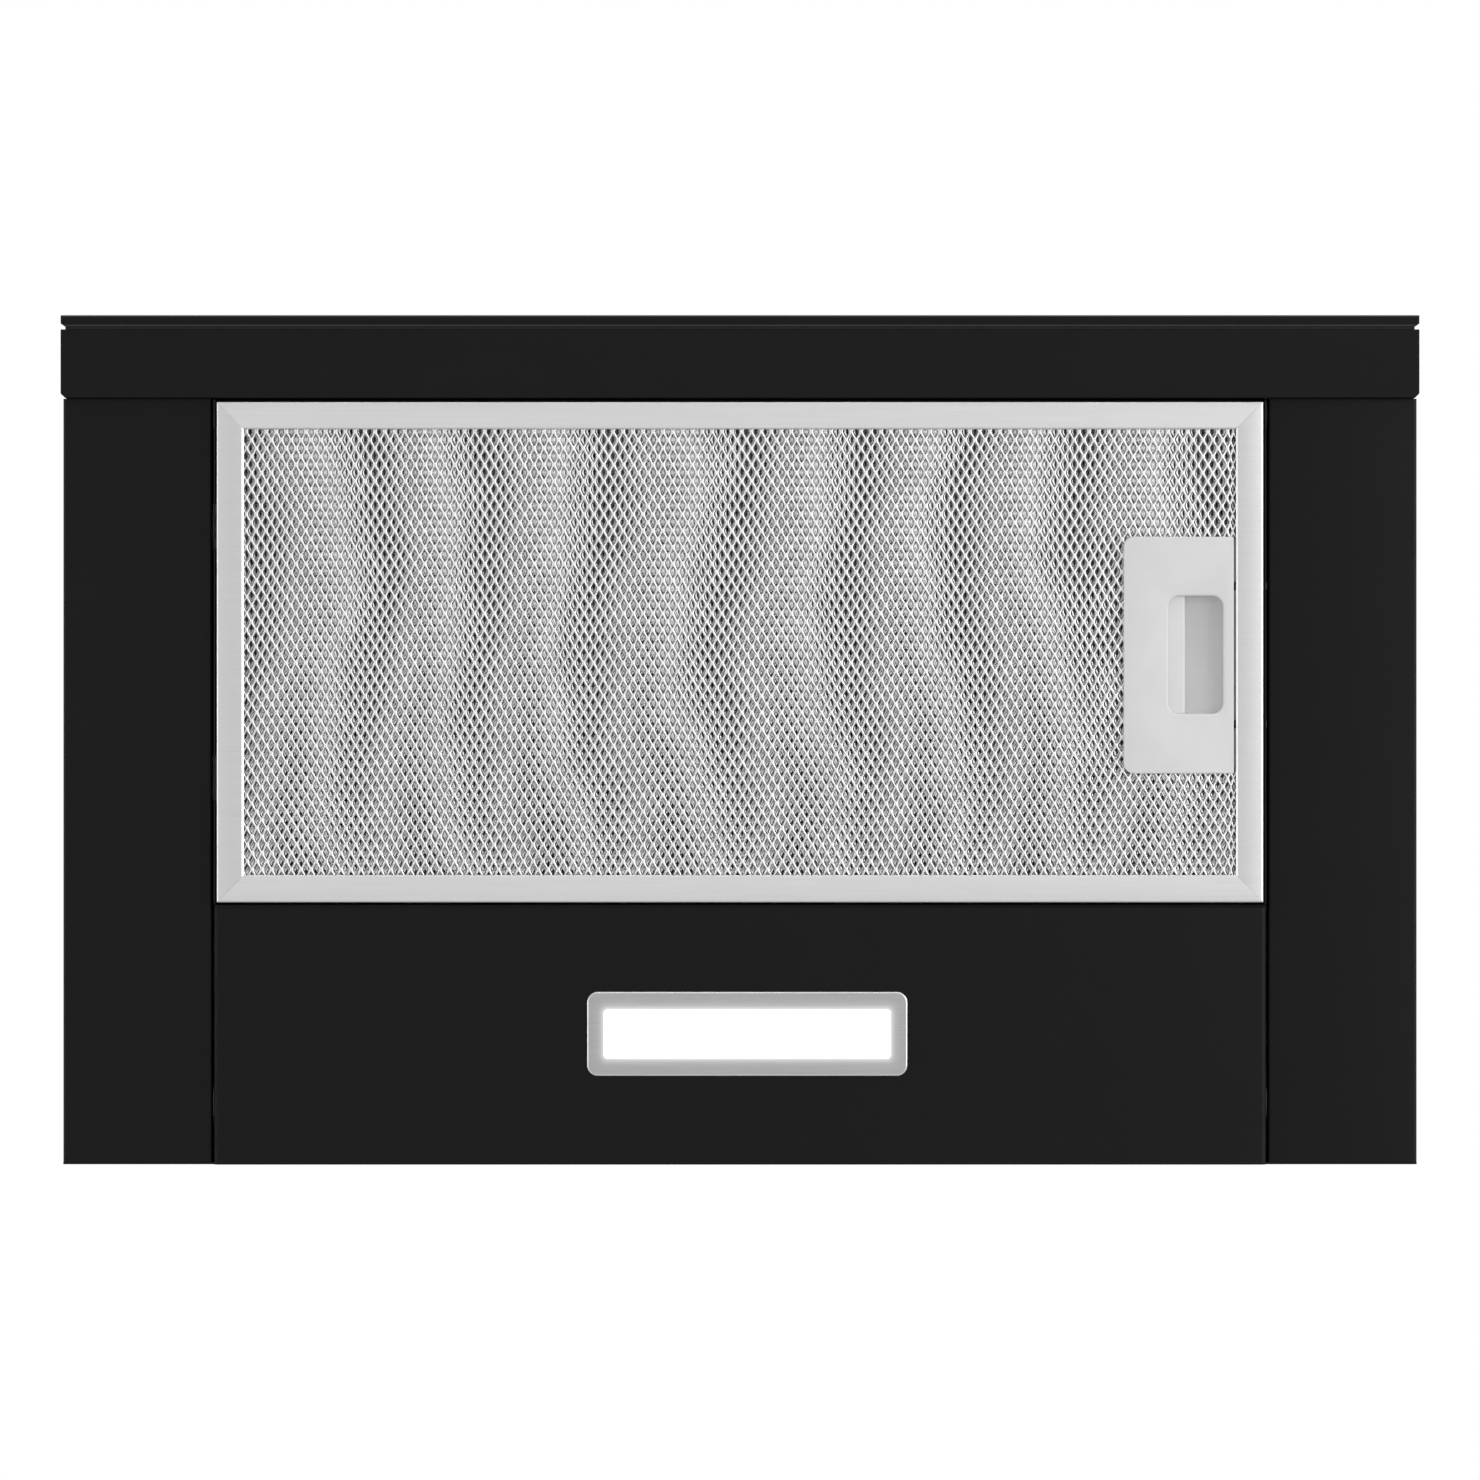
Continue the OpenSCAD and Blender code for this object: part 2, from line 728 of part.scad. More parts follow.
// ---- Drawer front ----

// Outline of a bar across the front with its two rear corners cut off
module front_bar(x, y0, y1, z0, z1, cx, cy) {
    translate([0, 0, z0]) linear_extrude(height = z1 - z0)
        polygon([[-x, y0], [x, y0], [x, y1 - cy], [x - cx, y1], [-x + cx, y1], [-x, y1 - cy]]);
}

module front_trim() {
    color(black) difference() {
        front_bar(half_w, y_front, trim_y1, 0, trim_h, 1.8, 1.3);
        for (i = [0 : 3])
            rod_y(button_x0 + i * button_pitch, y_front - cut, trim_y1 + cut, button_z, button_hole_r);
    }
}

module trim_gasket() {
    color([0.03, 0.03, 0.03]) difference() {
        block([-half_w + 2, trim_y1, 0.8], [half_w - 2, gasket_y1, tray_h - 1]);
        for (i = [0 : 3])
            rod_y(button_x0 + i * button_pitch, trim_y1 - cut, gasket_y1 + cut, button_z, stem_hole_r);
    }
}

module front_profile() {
    t = profile_t;
    color(black) difference() {
        front_bar(half_w, gasket_y1, profile_y1, 0, deck_z, 2, 2);
        block([-half_w + 2 + t, gasket_y1 + t, t], [half_w - 2 - t, profile_y1 - t, deck_z - t]);
        for (i = [0 : 3])
            rod_y(button_x0 + i * button_pitch, gasket_y1 - cut, gasket_y1 + t + cut, button_z, stem_hole_r);
        foot_rods(profile_y1 - profile_t - cut, profile_y1 + 2 * sheet + cut, shank_r);
    }
}

module push_button(i) {
    x = button_x0 + i * button_pitch;
    color(brushed) {
        rod_y(x, y_front, y_front + button_cap, button_z, button_r);
        rod_y(x, y_front + button_cap, stem_end, button_z, button_stem_r);
    }
}

module control_board() {
    span = 3 * button_pitch;
    color([0.1, 0.35, 0.2]) {
        block([button_x0 - 16, board_y, 8], [button_x0 + span + 16, board_y + board_t, 33]);
        for (i = [0 : 3])
            block([button_x0 + i * button_pitch - 3, board_y - switch_h, button_z - 3],
                  [button_x0 + i * button_pitch + 3, board_y, button_z + 3]);
        for (x = [button_x0 - 11, button_x0 + span + 11])
            rod_y(x, board_y + board_t, profile_y1 - profile_t, button_z, 2.5);
    }
}

// ---- Drawer body ----

module drawer_pan() {
    x = slide_x0 - sheet;
    y0 = profile_y1;
    color(black) difference() {
        union() {
            block([-x, y0, drawer_z], [x, drawer_y1, drawer_z + sheet]);
            block([-x, y0, drawer_z], [x, y0 + sheet, drawer_z + drawer_flange]);
            for (side = [-1, 1]) on_side(side)
                block([x - sheet, y0 + 2 * sheet, drawer_z], [x, drawer_y1, drawer_z + drawer_flange]);
        }
        block([-ext_x, ext_y[0], drawer_z - cut], [ext_x, ext_y[1], drawer_z + sheet + cut]);
        foot_rods(profile_y1 - profile_t - cut, profile_y1 + 2 * sheet + cut, shank_r);
    }
}

module visor_plate() {
    x = slide_x0 - sheet;
    y0 = profile_y1;
    color(black) difference() {
        union() {
            block([-x, y0, visor_z], [x, drawer_y1, visor_z + sheet]);
            block([-x, y0, visor_z - drawer_flange], [x, y0 + sheet, visor_z + sheet]);
            for (side = [-1, 1]) on_side(side)
                block([x - sheet, y0 + 2 * sheet, visor_z - drawer_flange], [x, drawer_y1, visor_z + sheet]);
        }
        foot_rods(profile_y1 - profile_t - cut, profile_y1 + 2 * sheet + cut, shank_r);
    }
}

// Rods along Y at the screws through the arms' feet
module foot_rods(y0, y1, r) {
    x = slide_x0 - sheet - arm_foot / 2;
    for (side = [-1, 1], z = foot_screws)
        rod_y(side * x, y0, y1, z, r);
}

module drawer_arm(side) {
    color(black) difference() {
        on_side(side) {
            block([slide_x0 - sheet, profile_y1, arm_z[0]], [slide_x0, arm_y1, arm_z[1]]);
            block([slide_x0 - sheet - arm_foot, profile_y1 + sheet, foot_z[0]],
                  [slide_x0, profile_y1 + 2 * sheet, foot_z[1]]);
            block([slide_x0 - 17, arm_y1 + 1.3, 16], [slide_x0, arm_y1 + 2.3, 24]);
            block([slide_x0 - sheet, arm_y1, 16], [slide_x0, arm_y1 + 2.3, 24]);
        }
        foot_rods(profile_y1 - profile_t - cut, profile_y1 + 2 * sheet + cut, shank_r);
    }
}

module drawer_screws() {
    foot_y1 = profile_y1 + 2 * sheet;
    color(zinc) {
        foot_rods(profile_y1 - profile_t, foot_y1, shank_r);
        foot_rods(foot_y1, foot_y1 + head_h, head_r);
    }
}

module extension_frame() {
    x = ext_x + ext_seat;
    inner = x - ext_member;
    y0 = ext_y[0] - ext_seat;
    y1 = ext_y[1] + ext_seat;
    color(brushed) difference() {
        block([-x, y0, ext_z[0]], [x, y1, ext_z[1]]);
        block([-inner, y0 + ext_member, ext_z[0] - cut], [inner, y1 - ext_member, ext_z[1] + cut]);
        block([-x + frame_t, y0 + frame_t, ext_z[0] + frame_t],
              [x - frame_t, y1 - frame_t, ext_z[1] - frame_t]);
    }
}

module extension_mesh() {
    x = ext_x + ext_seat - mesh_inset;
    y0 = ext_y[0] - ext_seat + mesh_inset;
    y1 = ext_y[1] + ext_seat - mesh_inset;
    color([0.55, 0.55, 0.55]) block([-x, y0, ext_z[0] + frame_t], [x, y1, ext_z[1] - frame_t]);
}

// ---- Grease filter ----

module filter_frame() {
    m = member_w;
    color(brushed) difference() {
        union() {
            block([-filter_x, filter_y0, filter_z0], [filter_x, filter_y1, filter_z1]);
            for (y = tab_ys)
                block([-tab_reach, y, tab_z[0]], [-filter_x + frame_t, y + tab_l, tab_z[1]]);
        }
        block([-filter_x + m, filter_y0 + m, filter_z0 - cut],
              [filter_x - m, filter_y1 - m, filter_z1 + cut]);
        block([-filter_x + frame_t, filter_y0 + frame_t, filter_z0 + frame_t],
              [filter_x - frame_t, filter_y1 - frame_t, filter_z1 - frame_t]);
        block([-filter_x + m - frame_lip, filter_y0 + m - frame_lip, filter_z1 - frame_t - cut],
              [filter_x - m + frame_lip, filter_y1 - m + frame_lip, filter_z1 + cut]);
        bolt_slots(filter_x - frame_t - cut, filter_x + cut, channel_gap);
    }
}

module filter_mesh() {
    gap = 0.4;
    color([0.55, 0.55, 0.55]) difference() {
        block([-filter_x + mesh_inset, filter_y0 + mesh_inset, mesh_z[0]],
              [filter_x - mesh_inset, filter_y1 - mesh_inset, mesh_z[1]]);
        block([latch_x0 - gap, latch_y0 - gap, 0], [filter_x, latch_y1 + gap, filter_z1]);
    }
}

module latch_housing() {
    tongue_x = filter_x - frame_t - 0.5;
    centre_y = (latch_y0 + latch_y1) / 2;
    bar_y0 = bolt_ys[0] - channel_gap;
    bar_y1 = bolt_ys[1] + bolt_w + channel_gap;
    recess_c = [(recess_x[0] + recess_x[1]) / 2, (recess_y[0] + recess_y[1]) / 2];
    recess_s = [recess_x[1] - recess_x[0], recess_y[1] - recess_y[0]];
    color(plastic) difference() {
        union() {
            block([latch_x0 + latch_r, latch_y0, latch_z[0]], [latch_x1, latch_y1, latch_z[1]]);
            block([latch_x0, latch_y0 + latch_r, latch_z[0]], [latch_x1, latch_y1 - latch_r, latch_z[1]]);
            for (y = [latch_y0 + latch_r, latch_y1 - latch_r])
                translate([latch_x0 + latch_r, y, latch_z[0]])
                    cylinder(r = latch_r, h = latch_z[1] - latch_z[0]);
            block([latch_x1 - cut, latch_y0, mesh_z[0]], [tongue_x, latch_y1, filter_z1 - frame_t - 0.2]);
        }
        round_plate(recess_c, recess_s, recess_r, latch_z[0] - cut, recess_z1);
        block([cavity_x0, bar_y0, cavity_z0], [slider_x[1] + channel_gap, bar_y1, recess_z1]);
        for (y = bolt_ys)
            block([slider_x[1], y - channel_gap, bolt_z0 - channel_gap],
                  [filter_x, y + bolt_w + channel_gap, recess_z1]);
    }
}

module latch_slider() {
    color(plastic) {
        block([slider_x[0], bolt_ys[0], slider_z[0]], [slider_x[1], bolt_ys[1] + bolt_w, slider_z[1]]);
        for (y = bolt_ys)
            block([slider_x[1] - cut, y, bolt_z0], [bolt_reach, y + bolt_w, slider_z[1]]);
    }
}

// A coil along X: rings of points on a helix, joined into one tube
function helix_centre(i) = [
    cavity_x0 + 0.4 + (slider_x[0] - cavity_x0 - 0.8) * i / (spring_turns * spring_ring),
    spring_r * cos(i * 360 / spring_ring),
    spring_r * sin(i * 360 / spring_ring)
];
function helix_ring(i) = [for (k = [0 : spring_sides - 1]) helix_centre(i) + spring_wire * [
    sin(k * 360 / spring_sides),
    cos(k * 360 / spring_sides) * cos(i * 360 / spring_ring),
    cos(k * 360 / spring_sides) * sin(i * 360 / spring_ring)
]];

module coil_spring() {
    n = spring_turns * spring_ring;
    s = spring_sides;
    points = [for (i = [0 : n]) each helix_ring(i)];
    sides = [for (i = [0 : n - 1], k = [0 : s - 1])
        [i * s + k, i * s + (k + 1) % s, (i + 1) * s + (k + 1) % s, (i + 1) * s + k]];
    polyhedron(points, concat([[for (k = [s - 1 : -1 : 0]) k]], sides, [[for (k = [0 : s - 1]) n * s + k]]));
}

module latch_springs() {
    z = (slider_z[0] + slider_z[1]) / 2;
    color(zinc) for (y = [recess_y[0] + 8, recess_y[1] - 8])
        translate([0, y, z]) coil_spring();
}

// ---- One line per sub-part ----

side_panel(-1);  // side_panel_left
side_panel(1);  // side_panel_right
bottom_pan();
back_panel();
deck_plate();
cross_rails();
box_frame();
motor_box();
mounting_bracket(-1);  // mounting_bracket_left
mounting_bracket(1);  // mounting_bracket_right
slide_outer(-1);  // slide_outer_left
slide_outer(1);  // slide_outer_right
collar_flange();
duct_collar();
blower_scroll();
scroll_cover();
inlet_guard();
motor_can();
stator();
motor_bracket();
motor_grommets();
bearing_bushes();
capacitor();
terminal_box();
terminal_lid();
led_driver();
cable_gland();
lamp_bezel();
lamp_lens();
lamp_housing();
lamp_led_board();
drawer_switch();
body_screws();
front_trim();
trim_gasket();
front_profile();
drawer_pan();
visor_plate();
drawer_arm(-1);  // drawer_arm_left
drawer_arm(1);  // drawer_arm_right
slide_inner(-1);  // slide_inner_left
slide_inner(1);  // slide_inner_right
extension_frame();
extension_mesh();
control_board();
drawer_screws();
ball_cages();
filter_frame();
filter_mesh();
latch_housing();
latch_springs();
latch_slider();
impeller();
motor_rotor();
damper_flap(-1);  // damper_flap_front
damper_flap(1);  // damper_flap_rear
push_button(0);  // button_off
push_button(1);  // button_low
push_button(2);  // button_high
push_button(3);  // button_lamp
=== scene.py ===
import json
import math

import bmesh
import bpy
import numpy as np
from mathutils import Matrix, Vector

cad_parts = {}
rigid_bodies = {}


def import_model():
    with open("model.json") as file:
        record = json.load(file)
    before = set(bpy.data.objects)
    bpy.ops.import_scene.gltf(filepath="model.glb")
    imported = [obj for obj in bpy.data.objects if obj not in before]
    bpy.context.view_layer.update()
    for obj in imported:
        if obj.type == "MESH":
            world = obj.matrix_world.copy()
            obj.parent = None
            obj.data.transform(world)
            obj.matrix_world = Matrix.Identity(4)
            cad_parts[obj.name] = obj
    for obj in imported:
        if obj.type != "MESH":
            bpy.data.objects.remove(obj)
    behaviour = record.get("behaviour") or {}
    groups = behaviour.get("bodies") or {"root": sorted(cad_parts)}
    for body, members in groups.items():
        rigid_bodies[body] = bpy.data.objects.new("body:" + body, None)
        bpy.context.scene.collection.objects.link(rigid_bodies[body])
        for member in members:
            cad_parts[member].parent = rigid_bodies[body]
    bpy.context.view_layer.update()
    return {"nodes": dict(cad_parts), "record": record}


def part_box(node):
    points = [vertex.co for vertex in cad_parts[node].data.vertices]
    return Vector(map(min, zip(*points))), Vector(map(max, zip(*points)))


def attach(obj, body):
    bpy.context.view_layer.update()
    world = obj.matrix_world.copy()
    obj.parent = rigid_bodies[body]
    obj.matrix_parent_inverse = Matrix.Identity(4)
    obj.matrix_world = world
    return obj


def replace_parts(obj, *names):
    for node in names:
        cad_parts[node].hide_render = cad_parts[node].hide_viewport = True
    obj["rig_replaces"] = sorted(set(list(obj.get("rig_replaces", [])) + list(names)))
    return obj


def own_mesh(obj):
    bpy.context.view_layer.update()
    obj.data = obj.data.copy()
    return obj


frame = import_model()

MM = 0.001
NODES = frame["nodes"]
SLOT_OF = {row["node"]: row["material_slot"] for row in frame["record"]["subparts"]}
BODY_OF = {n: b for b, names in frame["record"]["behaviour"]["bodies"].items() for n in names}


# ---------- materials

WHITE = (1, 1, 1, 1)


def add_node(tree, kind, inputs=None, **settings):
    """Adds a shader node. Settings are its properties; inputs are values, or sockets to link from."""
    made = tree.nodes.new(kind)
    for key, value in settings.items():
        setattr(made, key, value)
    for key, value in (inputs or {}).items():
        if isinstance(value, bpy.types.NodeSocket):
            tree.links.new(value, made.inputs[key])
        else:
            made.inputs[key].default_value = value
    return made


def calc(tree, operation, *values):
    """Adds a math node and gives its result."""
    return add_node(tree, "ShaderNodeMath", dict(enumerate(values)), operation=operation).outputs[0]


def remap(tree, value, low, high, from_low=0.3, from_high=0.7):
    """Adds a node that turns from_low into low and from_high into high, and gives its result."""
    inputs = {"Value": value, "From Min": from_low, "From Max": from_high, "To Min": low, "To Max": high}
    return add_node(tree, "ShaderNodeMapRange", inputs).outputs["Result"]


def shade(colour, factor):
    """The colour made darker or lighter, no channel above 1."""
    return tuple(min(1.0, factor * c) for c in colour)


def grey(level):
    return (level, level, level)


class Surface:
    """A procedural material: a Principled shader, and short calls that add texture to it."""

    def __init__(self, name, **inputs):
        self.material = bpy.data.materials.new(name)
        self.material.use_nodes = True
        self.tree = self.material.node_tree
        self.shader = self.tree.nodes["Principled BSDF"]
        for key, value in inputs.items():
            socket = self.shader.inputs[key.replace("_", " ")]
            socket.default_value = (*value, 1.0) if isinstance(value, tuple) else value
        self.coords = self.tree.nodes.new("ShaderNodeTexCoord").outputs["Object"]
        self.height = None

    def node(self, kind, inputs=None, **settings):
        """As add_node, in this material's tree."""
        return add_node(self.tree, kind, inputs, **settings)

    def scaled(self, scale):
        """Object coordinates times a scale per axis, in 1/m."""
        return self.node("ShaderNodeMapping", {"Vector": self.coords, "Scale": scale}).outputs["Vector"]

    def noise(self, scale, detail=2.0, rough=0.5, stretch=(1, 1, 1)):
        """Cloudy noise from 0 to 1, its scale in 1/m."""
        vector = self.scaled(tuple(scale * s for s in stretch))
        inputs = {"Vector": vector, "Scale": 1.0, "Detail": detail, "Roughness": rough}
        return self.node("ShaderNodeTexNoise", inputs).outputs["Fac"]

    def vary_colour(self, value, dark, light, from_low=0.3, from_high=0.7):
        """Base colour runs from dark to light as value does."""
        ramp = self.node("ShaderNodeValToRGB", {"Fac": value})
        ramp.color_ramp.elements[0].position = from_low
        ramp.color_ramp.elements[1].position = from_high
        ramp.color_ramp.elements[0].color = (*dark, 1)
        ramp.color_ramp.elements[1].color = (*light, 1)
        self.tree.links.new(ramp.outputs["Color"], self.shader.inputs["Base Color"])
        return self

    def vary_roughness(self, value, low, high):
        self.tree.links.new(remap(self.tree, value, low, high), self.shader.inputs["Roughness"])
        return self

    def shine(self, colour, strength):
        """Gives off light of a colour, as strong as the socket strength says."""
        self.shader.inputs["Emission Color"].default_value = colour
        self.tree.links.new(strength, self.shader.inputs["Emission Strength"])

    def bump(self, value, depth, strength=1.0):
        """Adds relief of that depth, in metres."""
        inputs = {"Height": value, "Distance": depth, "Strength": strength}
        if self.height:
            inputs["Normal"] = self.height
        self.height = self.node("ShaderNodeBump", inputs).outputs["Normal"]
        self.tree.links.new(self.height, self.shader.inputs["Normal"])
        return self


def powder_coat(name, base, roughness, level):
    """Black powder coat: an even, dull skin with a fine orange peel."""
    s = Surface(name, Roughness=roughness, Specular_IOR_Level=level)
    s.vary_colour(s.noise(40, 3), shade(base, 0.94), shade(base, 1.06))
    s.vary_roughness(s.noise(260, 3), roughness - 0.04, roughness + 0.05)
    return s.bump(s.noise(1500, 2), 0.000012, 0.35).bump(s.noise(350, 1), 0.00002, 0.25).material


def galvanised(name, tone, roughness):
    """Hot-dip zinc: large soft crystals, each with its own tone and gloss."""
    s = Surface(name, Metallic=1.0, Roughness=roughness)
    bend = s.node("ShaderNodeTexNoise", {"Vector": s.coords, "Scale": 160.0, "Detail": 2.0})
    mixed = s.node("ShaderNodeMix", {"Factor": 0.012, 6: s.coords, 7: bend.outputs["Color"]},
                   data_type="RGBA", blend_type="ADD").outputs[2]
    cells = s.node("ShaderNodeTexVoronoi", {"Vector": mixed, "Scale": 120.0})
    crystal = s.node("ShaderNodeSeparateColor", {"Color": cells.outputs["Color"]}).outputs["Red"]
    s.vary_colour(crystal, shade(tone, 0.91), shade(tone, 1.05), 0.0, 1.0)
    s.vary_roughness(crystal, roughness - 0.04, roughness + 0.06)
    return s.bump(s.noise(900, 2), 0.00001, 0.3).bump(crystal, 0.00001, 0.2).material


def brushed(name, tone, roughness, stretch, depth=0.000006, contrast=0.05):
    """Metal brushed along one axis; stretch is small along that axis."""
    s = Surface(name, Metallic=1.0, Roughness=roughness)
    grain = s.noise(1, 4, 0.65, stretch)
    s.vary_colour(grain, shade(tone, 1 - contrast), shade(tone, 1 + contrast))
    s.vary_roughness(grain, roughness - 0.06, roughness + 0.08)
    return s.bump(grain, depth, 0.5).material


def smooth_metal(name, tone, roughness):
    """Plated or drawn metal with faint handling marks."""
    s = Surface(name, Metallic=1.0, Roughness=roughness)
    s.vary_colour(s.noise(120, 4), shade(tone, 0.92), shade(tone, 1.04))
    s.vary_roughness(s.noise(420, 3), roughness - 0.05, roughness + 0.07)
    return s.bump(s.noise(1200, 2), 0.000006, 0.3).material


def plastic(name, base, roughness, grain=2200, depth=0.000012):
    """Moulded plastic with a fine spark texture."""
    s = Surface(name, Roughness=roughness)
    s.vary_colour(s.noise(60, 2), shade(base, 0.975), shade(base, 1.015))
    s.vary_roughness(s.noise(500, 2), roughness - 0.04, roughness + 0.05)
    return s.bump(s.noise(grain, 2), depth, 0.3).material


# The lamp's lens: the rim held behind the bezel, its dimmer edge, the light it throws on the bezel, painted
# there as a glow
LENS_FLANGE = 1.5 * MM
WINDOW_CORNER = 1.6 * MM
DIM_EDGE = 2.6 * MM
LENS_STRENGTH = 2.6
GLOW_REACH = 1.3 * MM
GLOW_STRENGTH = 0.5


def rectangle_distance(s, centre, half, round_r):
    """Distance in metres from a rounded rectangle in X and Y, zero inside it."""
    xyz = s.node("ShaderNodeSeparateXYZ", {"Vector": s.coords})
    beyond = []
    for axis, c, h in zip("XY", centre, half):
        off = calc(s.tree, "SUBTRACT", xyz.outputs[axis], c)
        away = calc(s.tree, "ABSOLUTE", off)
        out = calc(s.tree, "SUBTRACT", away, h - round_r)
        out = calc(s.tree, "MAXIMUM", out, 0.0)
        beyond.append(calc(s.tree, "POWER", out, 2.0))
    root = calc(s.tree, "SQRT", calc(s.tree, "ADD", *beyond))
    return calc(s.tree, "SUBTRACT", root, round_r)


def centre_and_half(node):
    lo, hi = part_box(node)
    return (lo + hi) / 2, (hi - lo) / 2


def bezel_material():
    """Satin steel, with the light that spills from the lens over its inner edge painted on as a glow."""
    s = Surface("bezel_satin", Metallic=1.0, Roughness=0.42)
    grain = s.noise(1, 4, 0.65, (60, 2600, 2600))
    s.vary_colour(grain, (0.53, 0.53, 0.535), (0.61, 0.61, 0.615))
    centre, half = centre_and_half("lamp_lens")
    window = (half.x - LENS_FLANGE, half.y - LENS_FLANGE)
    gap = rectangle_distance(s, centre, window, WINDOW_CORNER)
    glow = calc(s.tree, "EXPONENT", calc(s.tree, "MULTIPLY", gap, -1.0 / GLOW_REACH))
    strength = calc(s.tree, "MULTIPLY", glow, GLOW_STRENGTH)
    # The bezel glows near the lens: painted light.
    s.shine(WHITE, strength)
    return s.bump(grain, 0.000004, 0.4).material


def lens_material():
    """Frosted lens lit from behind, a little less bright at its very edge."""
    s = Surface("lens_lit", Base_Color=grey(0.9), Roughness=0.5)
    centre, half = centre_and_half("lamp_lens")
    bright = (half.x - DIM_EDGE, half.y - DIM_EDGE)
    gap = rectangle_distance(s, centre, bright, 1.0 * MM)
    strength = remap(s.tree, gap, LENS_STRENGTH, 0.35 * LENS_STRENGTH, -0.4 * MM, 1.4 * MM)
    s.shine((1.0, 1.0, 0.995, 1.0), strength)
    return s.bump(s.noise(1500, 2), 0.00001, 0.3).material


def board_material():
    """Circuit board: green mask over copper tracks."""
    s = Surface("board_green", Roughness=0.35)
    tracks = {"Vector": s.scaled((260, 260, 260)), "Scale": 1.0, "Mortar Size": 0.08,
              "Color1": (0.012, 0.10, 0.045, 1), "Color2": (0.014, 0.12, 0.05, 1),
              "Mortar": (0.05, 0.22, 0.09, 1)}
    brick = s.node("ShaderNodeTexBrick", tracks)
    s.tree.links.new(brick.outputs["Color"], s.shader.inputs["Base Color"])
    return s.bump(brick.outputs["Fac"], 0.00003, 0.3).material


def winding_material():
    """Enamelled copper wire, wound in fine turns."""
    s = Surface("copper_winding", Metallic=1.0, Roughness=0.3)
    turns = {"Vector": s.scaled((1, 1, 1)), "Scale": 420.0, "Distortion": 1.2, "Detail": 2.0}
    wave = s.node("ShaderNodeTexWave", turns, bands_direction="X")
    s.vary_colour(wave.outputs["Fac"], (0.30, 0.11, 0.04), (0.72, 0.33, 0.15), 0.1, 0.9)
    return s.bump(wave.outputs["Fac"], 0.0001, 0.6).material


# Brushing along X, as noise scales per axis in 1/m
ALONG_X = (22, 2600, 2600)

# The material of each of the record's slots
MATERIALS = {
    "painted_metal": powder_coat("powder_black", grey(0.0042), 0.42, 0.19),
    "trim_metal": powder_coat("powder_black_trim", grey(0.0038), 0.36, 0.19),
    "galvanised": galvanised("zinc_spangle", (0.50, 0.512, 0.525), 0.44),
    "slide_steel": smooth_metal("zinc_bright", (0.66, 0.67, 0.68), 0.26),
    "screw_steel": smooth_metal("screw_zinc", (0.62, 0.63, 0.65), 0.28),
    "filter_aluminium": brushed("aluminium_brushed", grey(0.93), 0.36, ALONG_X, 0.000005, 0.03),
    "mesh_aluminium": smooth_metal("aluminium_mesh", grey(0.93), 0.30),
    "latch_plastic": plastic("plastic_light", grey(0.80), 0.42),
    "bezel_steel": bezel_material(),
    "lens_glow": lens_material(),
    "circuit_board": board_material(),
    "rubber": plastic("rubber_black", grey(0.006), 0.7, 900, 0.00003),
    "winding_copper": winding_material(),
    "shaft_steel": smooth_metal("steel_ground", (0.58, 0.59, 0.60), 0.2),
    "bush_bronze": smooth_metal("bronze_sintered", (0.55, 0.36, 0.14), 0.42),
    "light_plastic": plastic("plastic_white", (0.72, 0.72, 0.70), 0.4),
    "dark_plastic": plastic("plastic_dark", (0.018, 0.018, 0.020), 0.45),
    "button_metal": brushed("button_steel", (0.62, 0.62, 0.63), 0.28, (2600, 2600, 120), 0.000003, 0.04),
}
# A frame's side members: the same aluminium, darker, as painted shade
SIDE_ALUMINIUM_SHADED = brushed("aluminium_side_shaded", grey(0.83), 0.36, ALONG_X, 0.000005, 0.03)
# Edges, lighter than their faces as in the photo: painted highlights on the trim's and the bezel's rounded
# edges
BEZEL_RIM_HIGHLIGHT = smooth_metal("bezel_rim_highlight", grey(0.96), 0.30)
TRIM_EDGE_HIGHLIGHT = powder_coat("paint_trim_edge_highlight", grey(0.042), 0.34, 0.19)
# Tones of single pieces. The mesh's second layer is darker than its metal, for the photo's contrast: painted
# shade.
BOLT_PLASTIC = plastic("plastic_bolt", grey(0.08), 0.5)
# Darker plastic for the finger recess's inside: painted shade.
RECESS_SHADE_PLASTIC = plastic("plastic_recess_shaded", grey(0.64), 0.5)
MESH_SECOND_SHADED = smooth_metal("aluminium_mesh_second_shaded", grey(0.57), 0.32)
MESH_DEEP = smooth_metal("aluminium_mesh_deep", grey(0.93), 0.42)


# ---------- building

# Degrees between faces above which an edge is sharp: CAD shapes, folded sheet, its rim, spring wire
SHARP = 35
FOLD_SHARP = 40
RIM_SHARP = 50
WIRE_SHARP = 60
RIM_BEVEL = 0.12 * MM
# Degrees between the facets of a sheet's bend; facets in a rounded corner and in a rounded edge
BEND_STEP = 15
CORNER_STEPS = 8
EDGE_STEPS = 4
# For each axis that sheet is swept along: its section's two axes, and itself
AXES = {"X": (1, 2, 0), "Y": (0, 2, 1)}


def linked(name, data):
    """A new object in the scene, with that mesh, light or camera."""
    obj = bpy.data.objects.new(name, data)
    bpy.context.scene.collection.objects.link(obj)
    return obj


def add_object(name, mesh, node, material=None):
    """Makes a mesh a piece that stands for a CAD node, with that node's body and slot."""
    obj = linked(name, mesh)
    body, slot = BODY_OF[node], SLOT_OF[node]
    if not mesh.materials:
        mesh.materials.append(material or MATERIALS[slot])
    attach(obj, body)
    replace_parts(obj, node)
    return obj


def smooth(mesh, angle=SHARP):
    """Smooth shading, with edges sharper than the angle kept sharp. Gives the mesh back."""
    mesh.polygons.foreach_set("use_smooth", [True] * len(mesh.polygons))
    mesh.set_sharp_from_angle(angle=math.radians(angle))
    mesh.update()
    return mesh


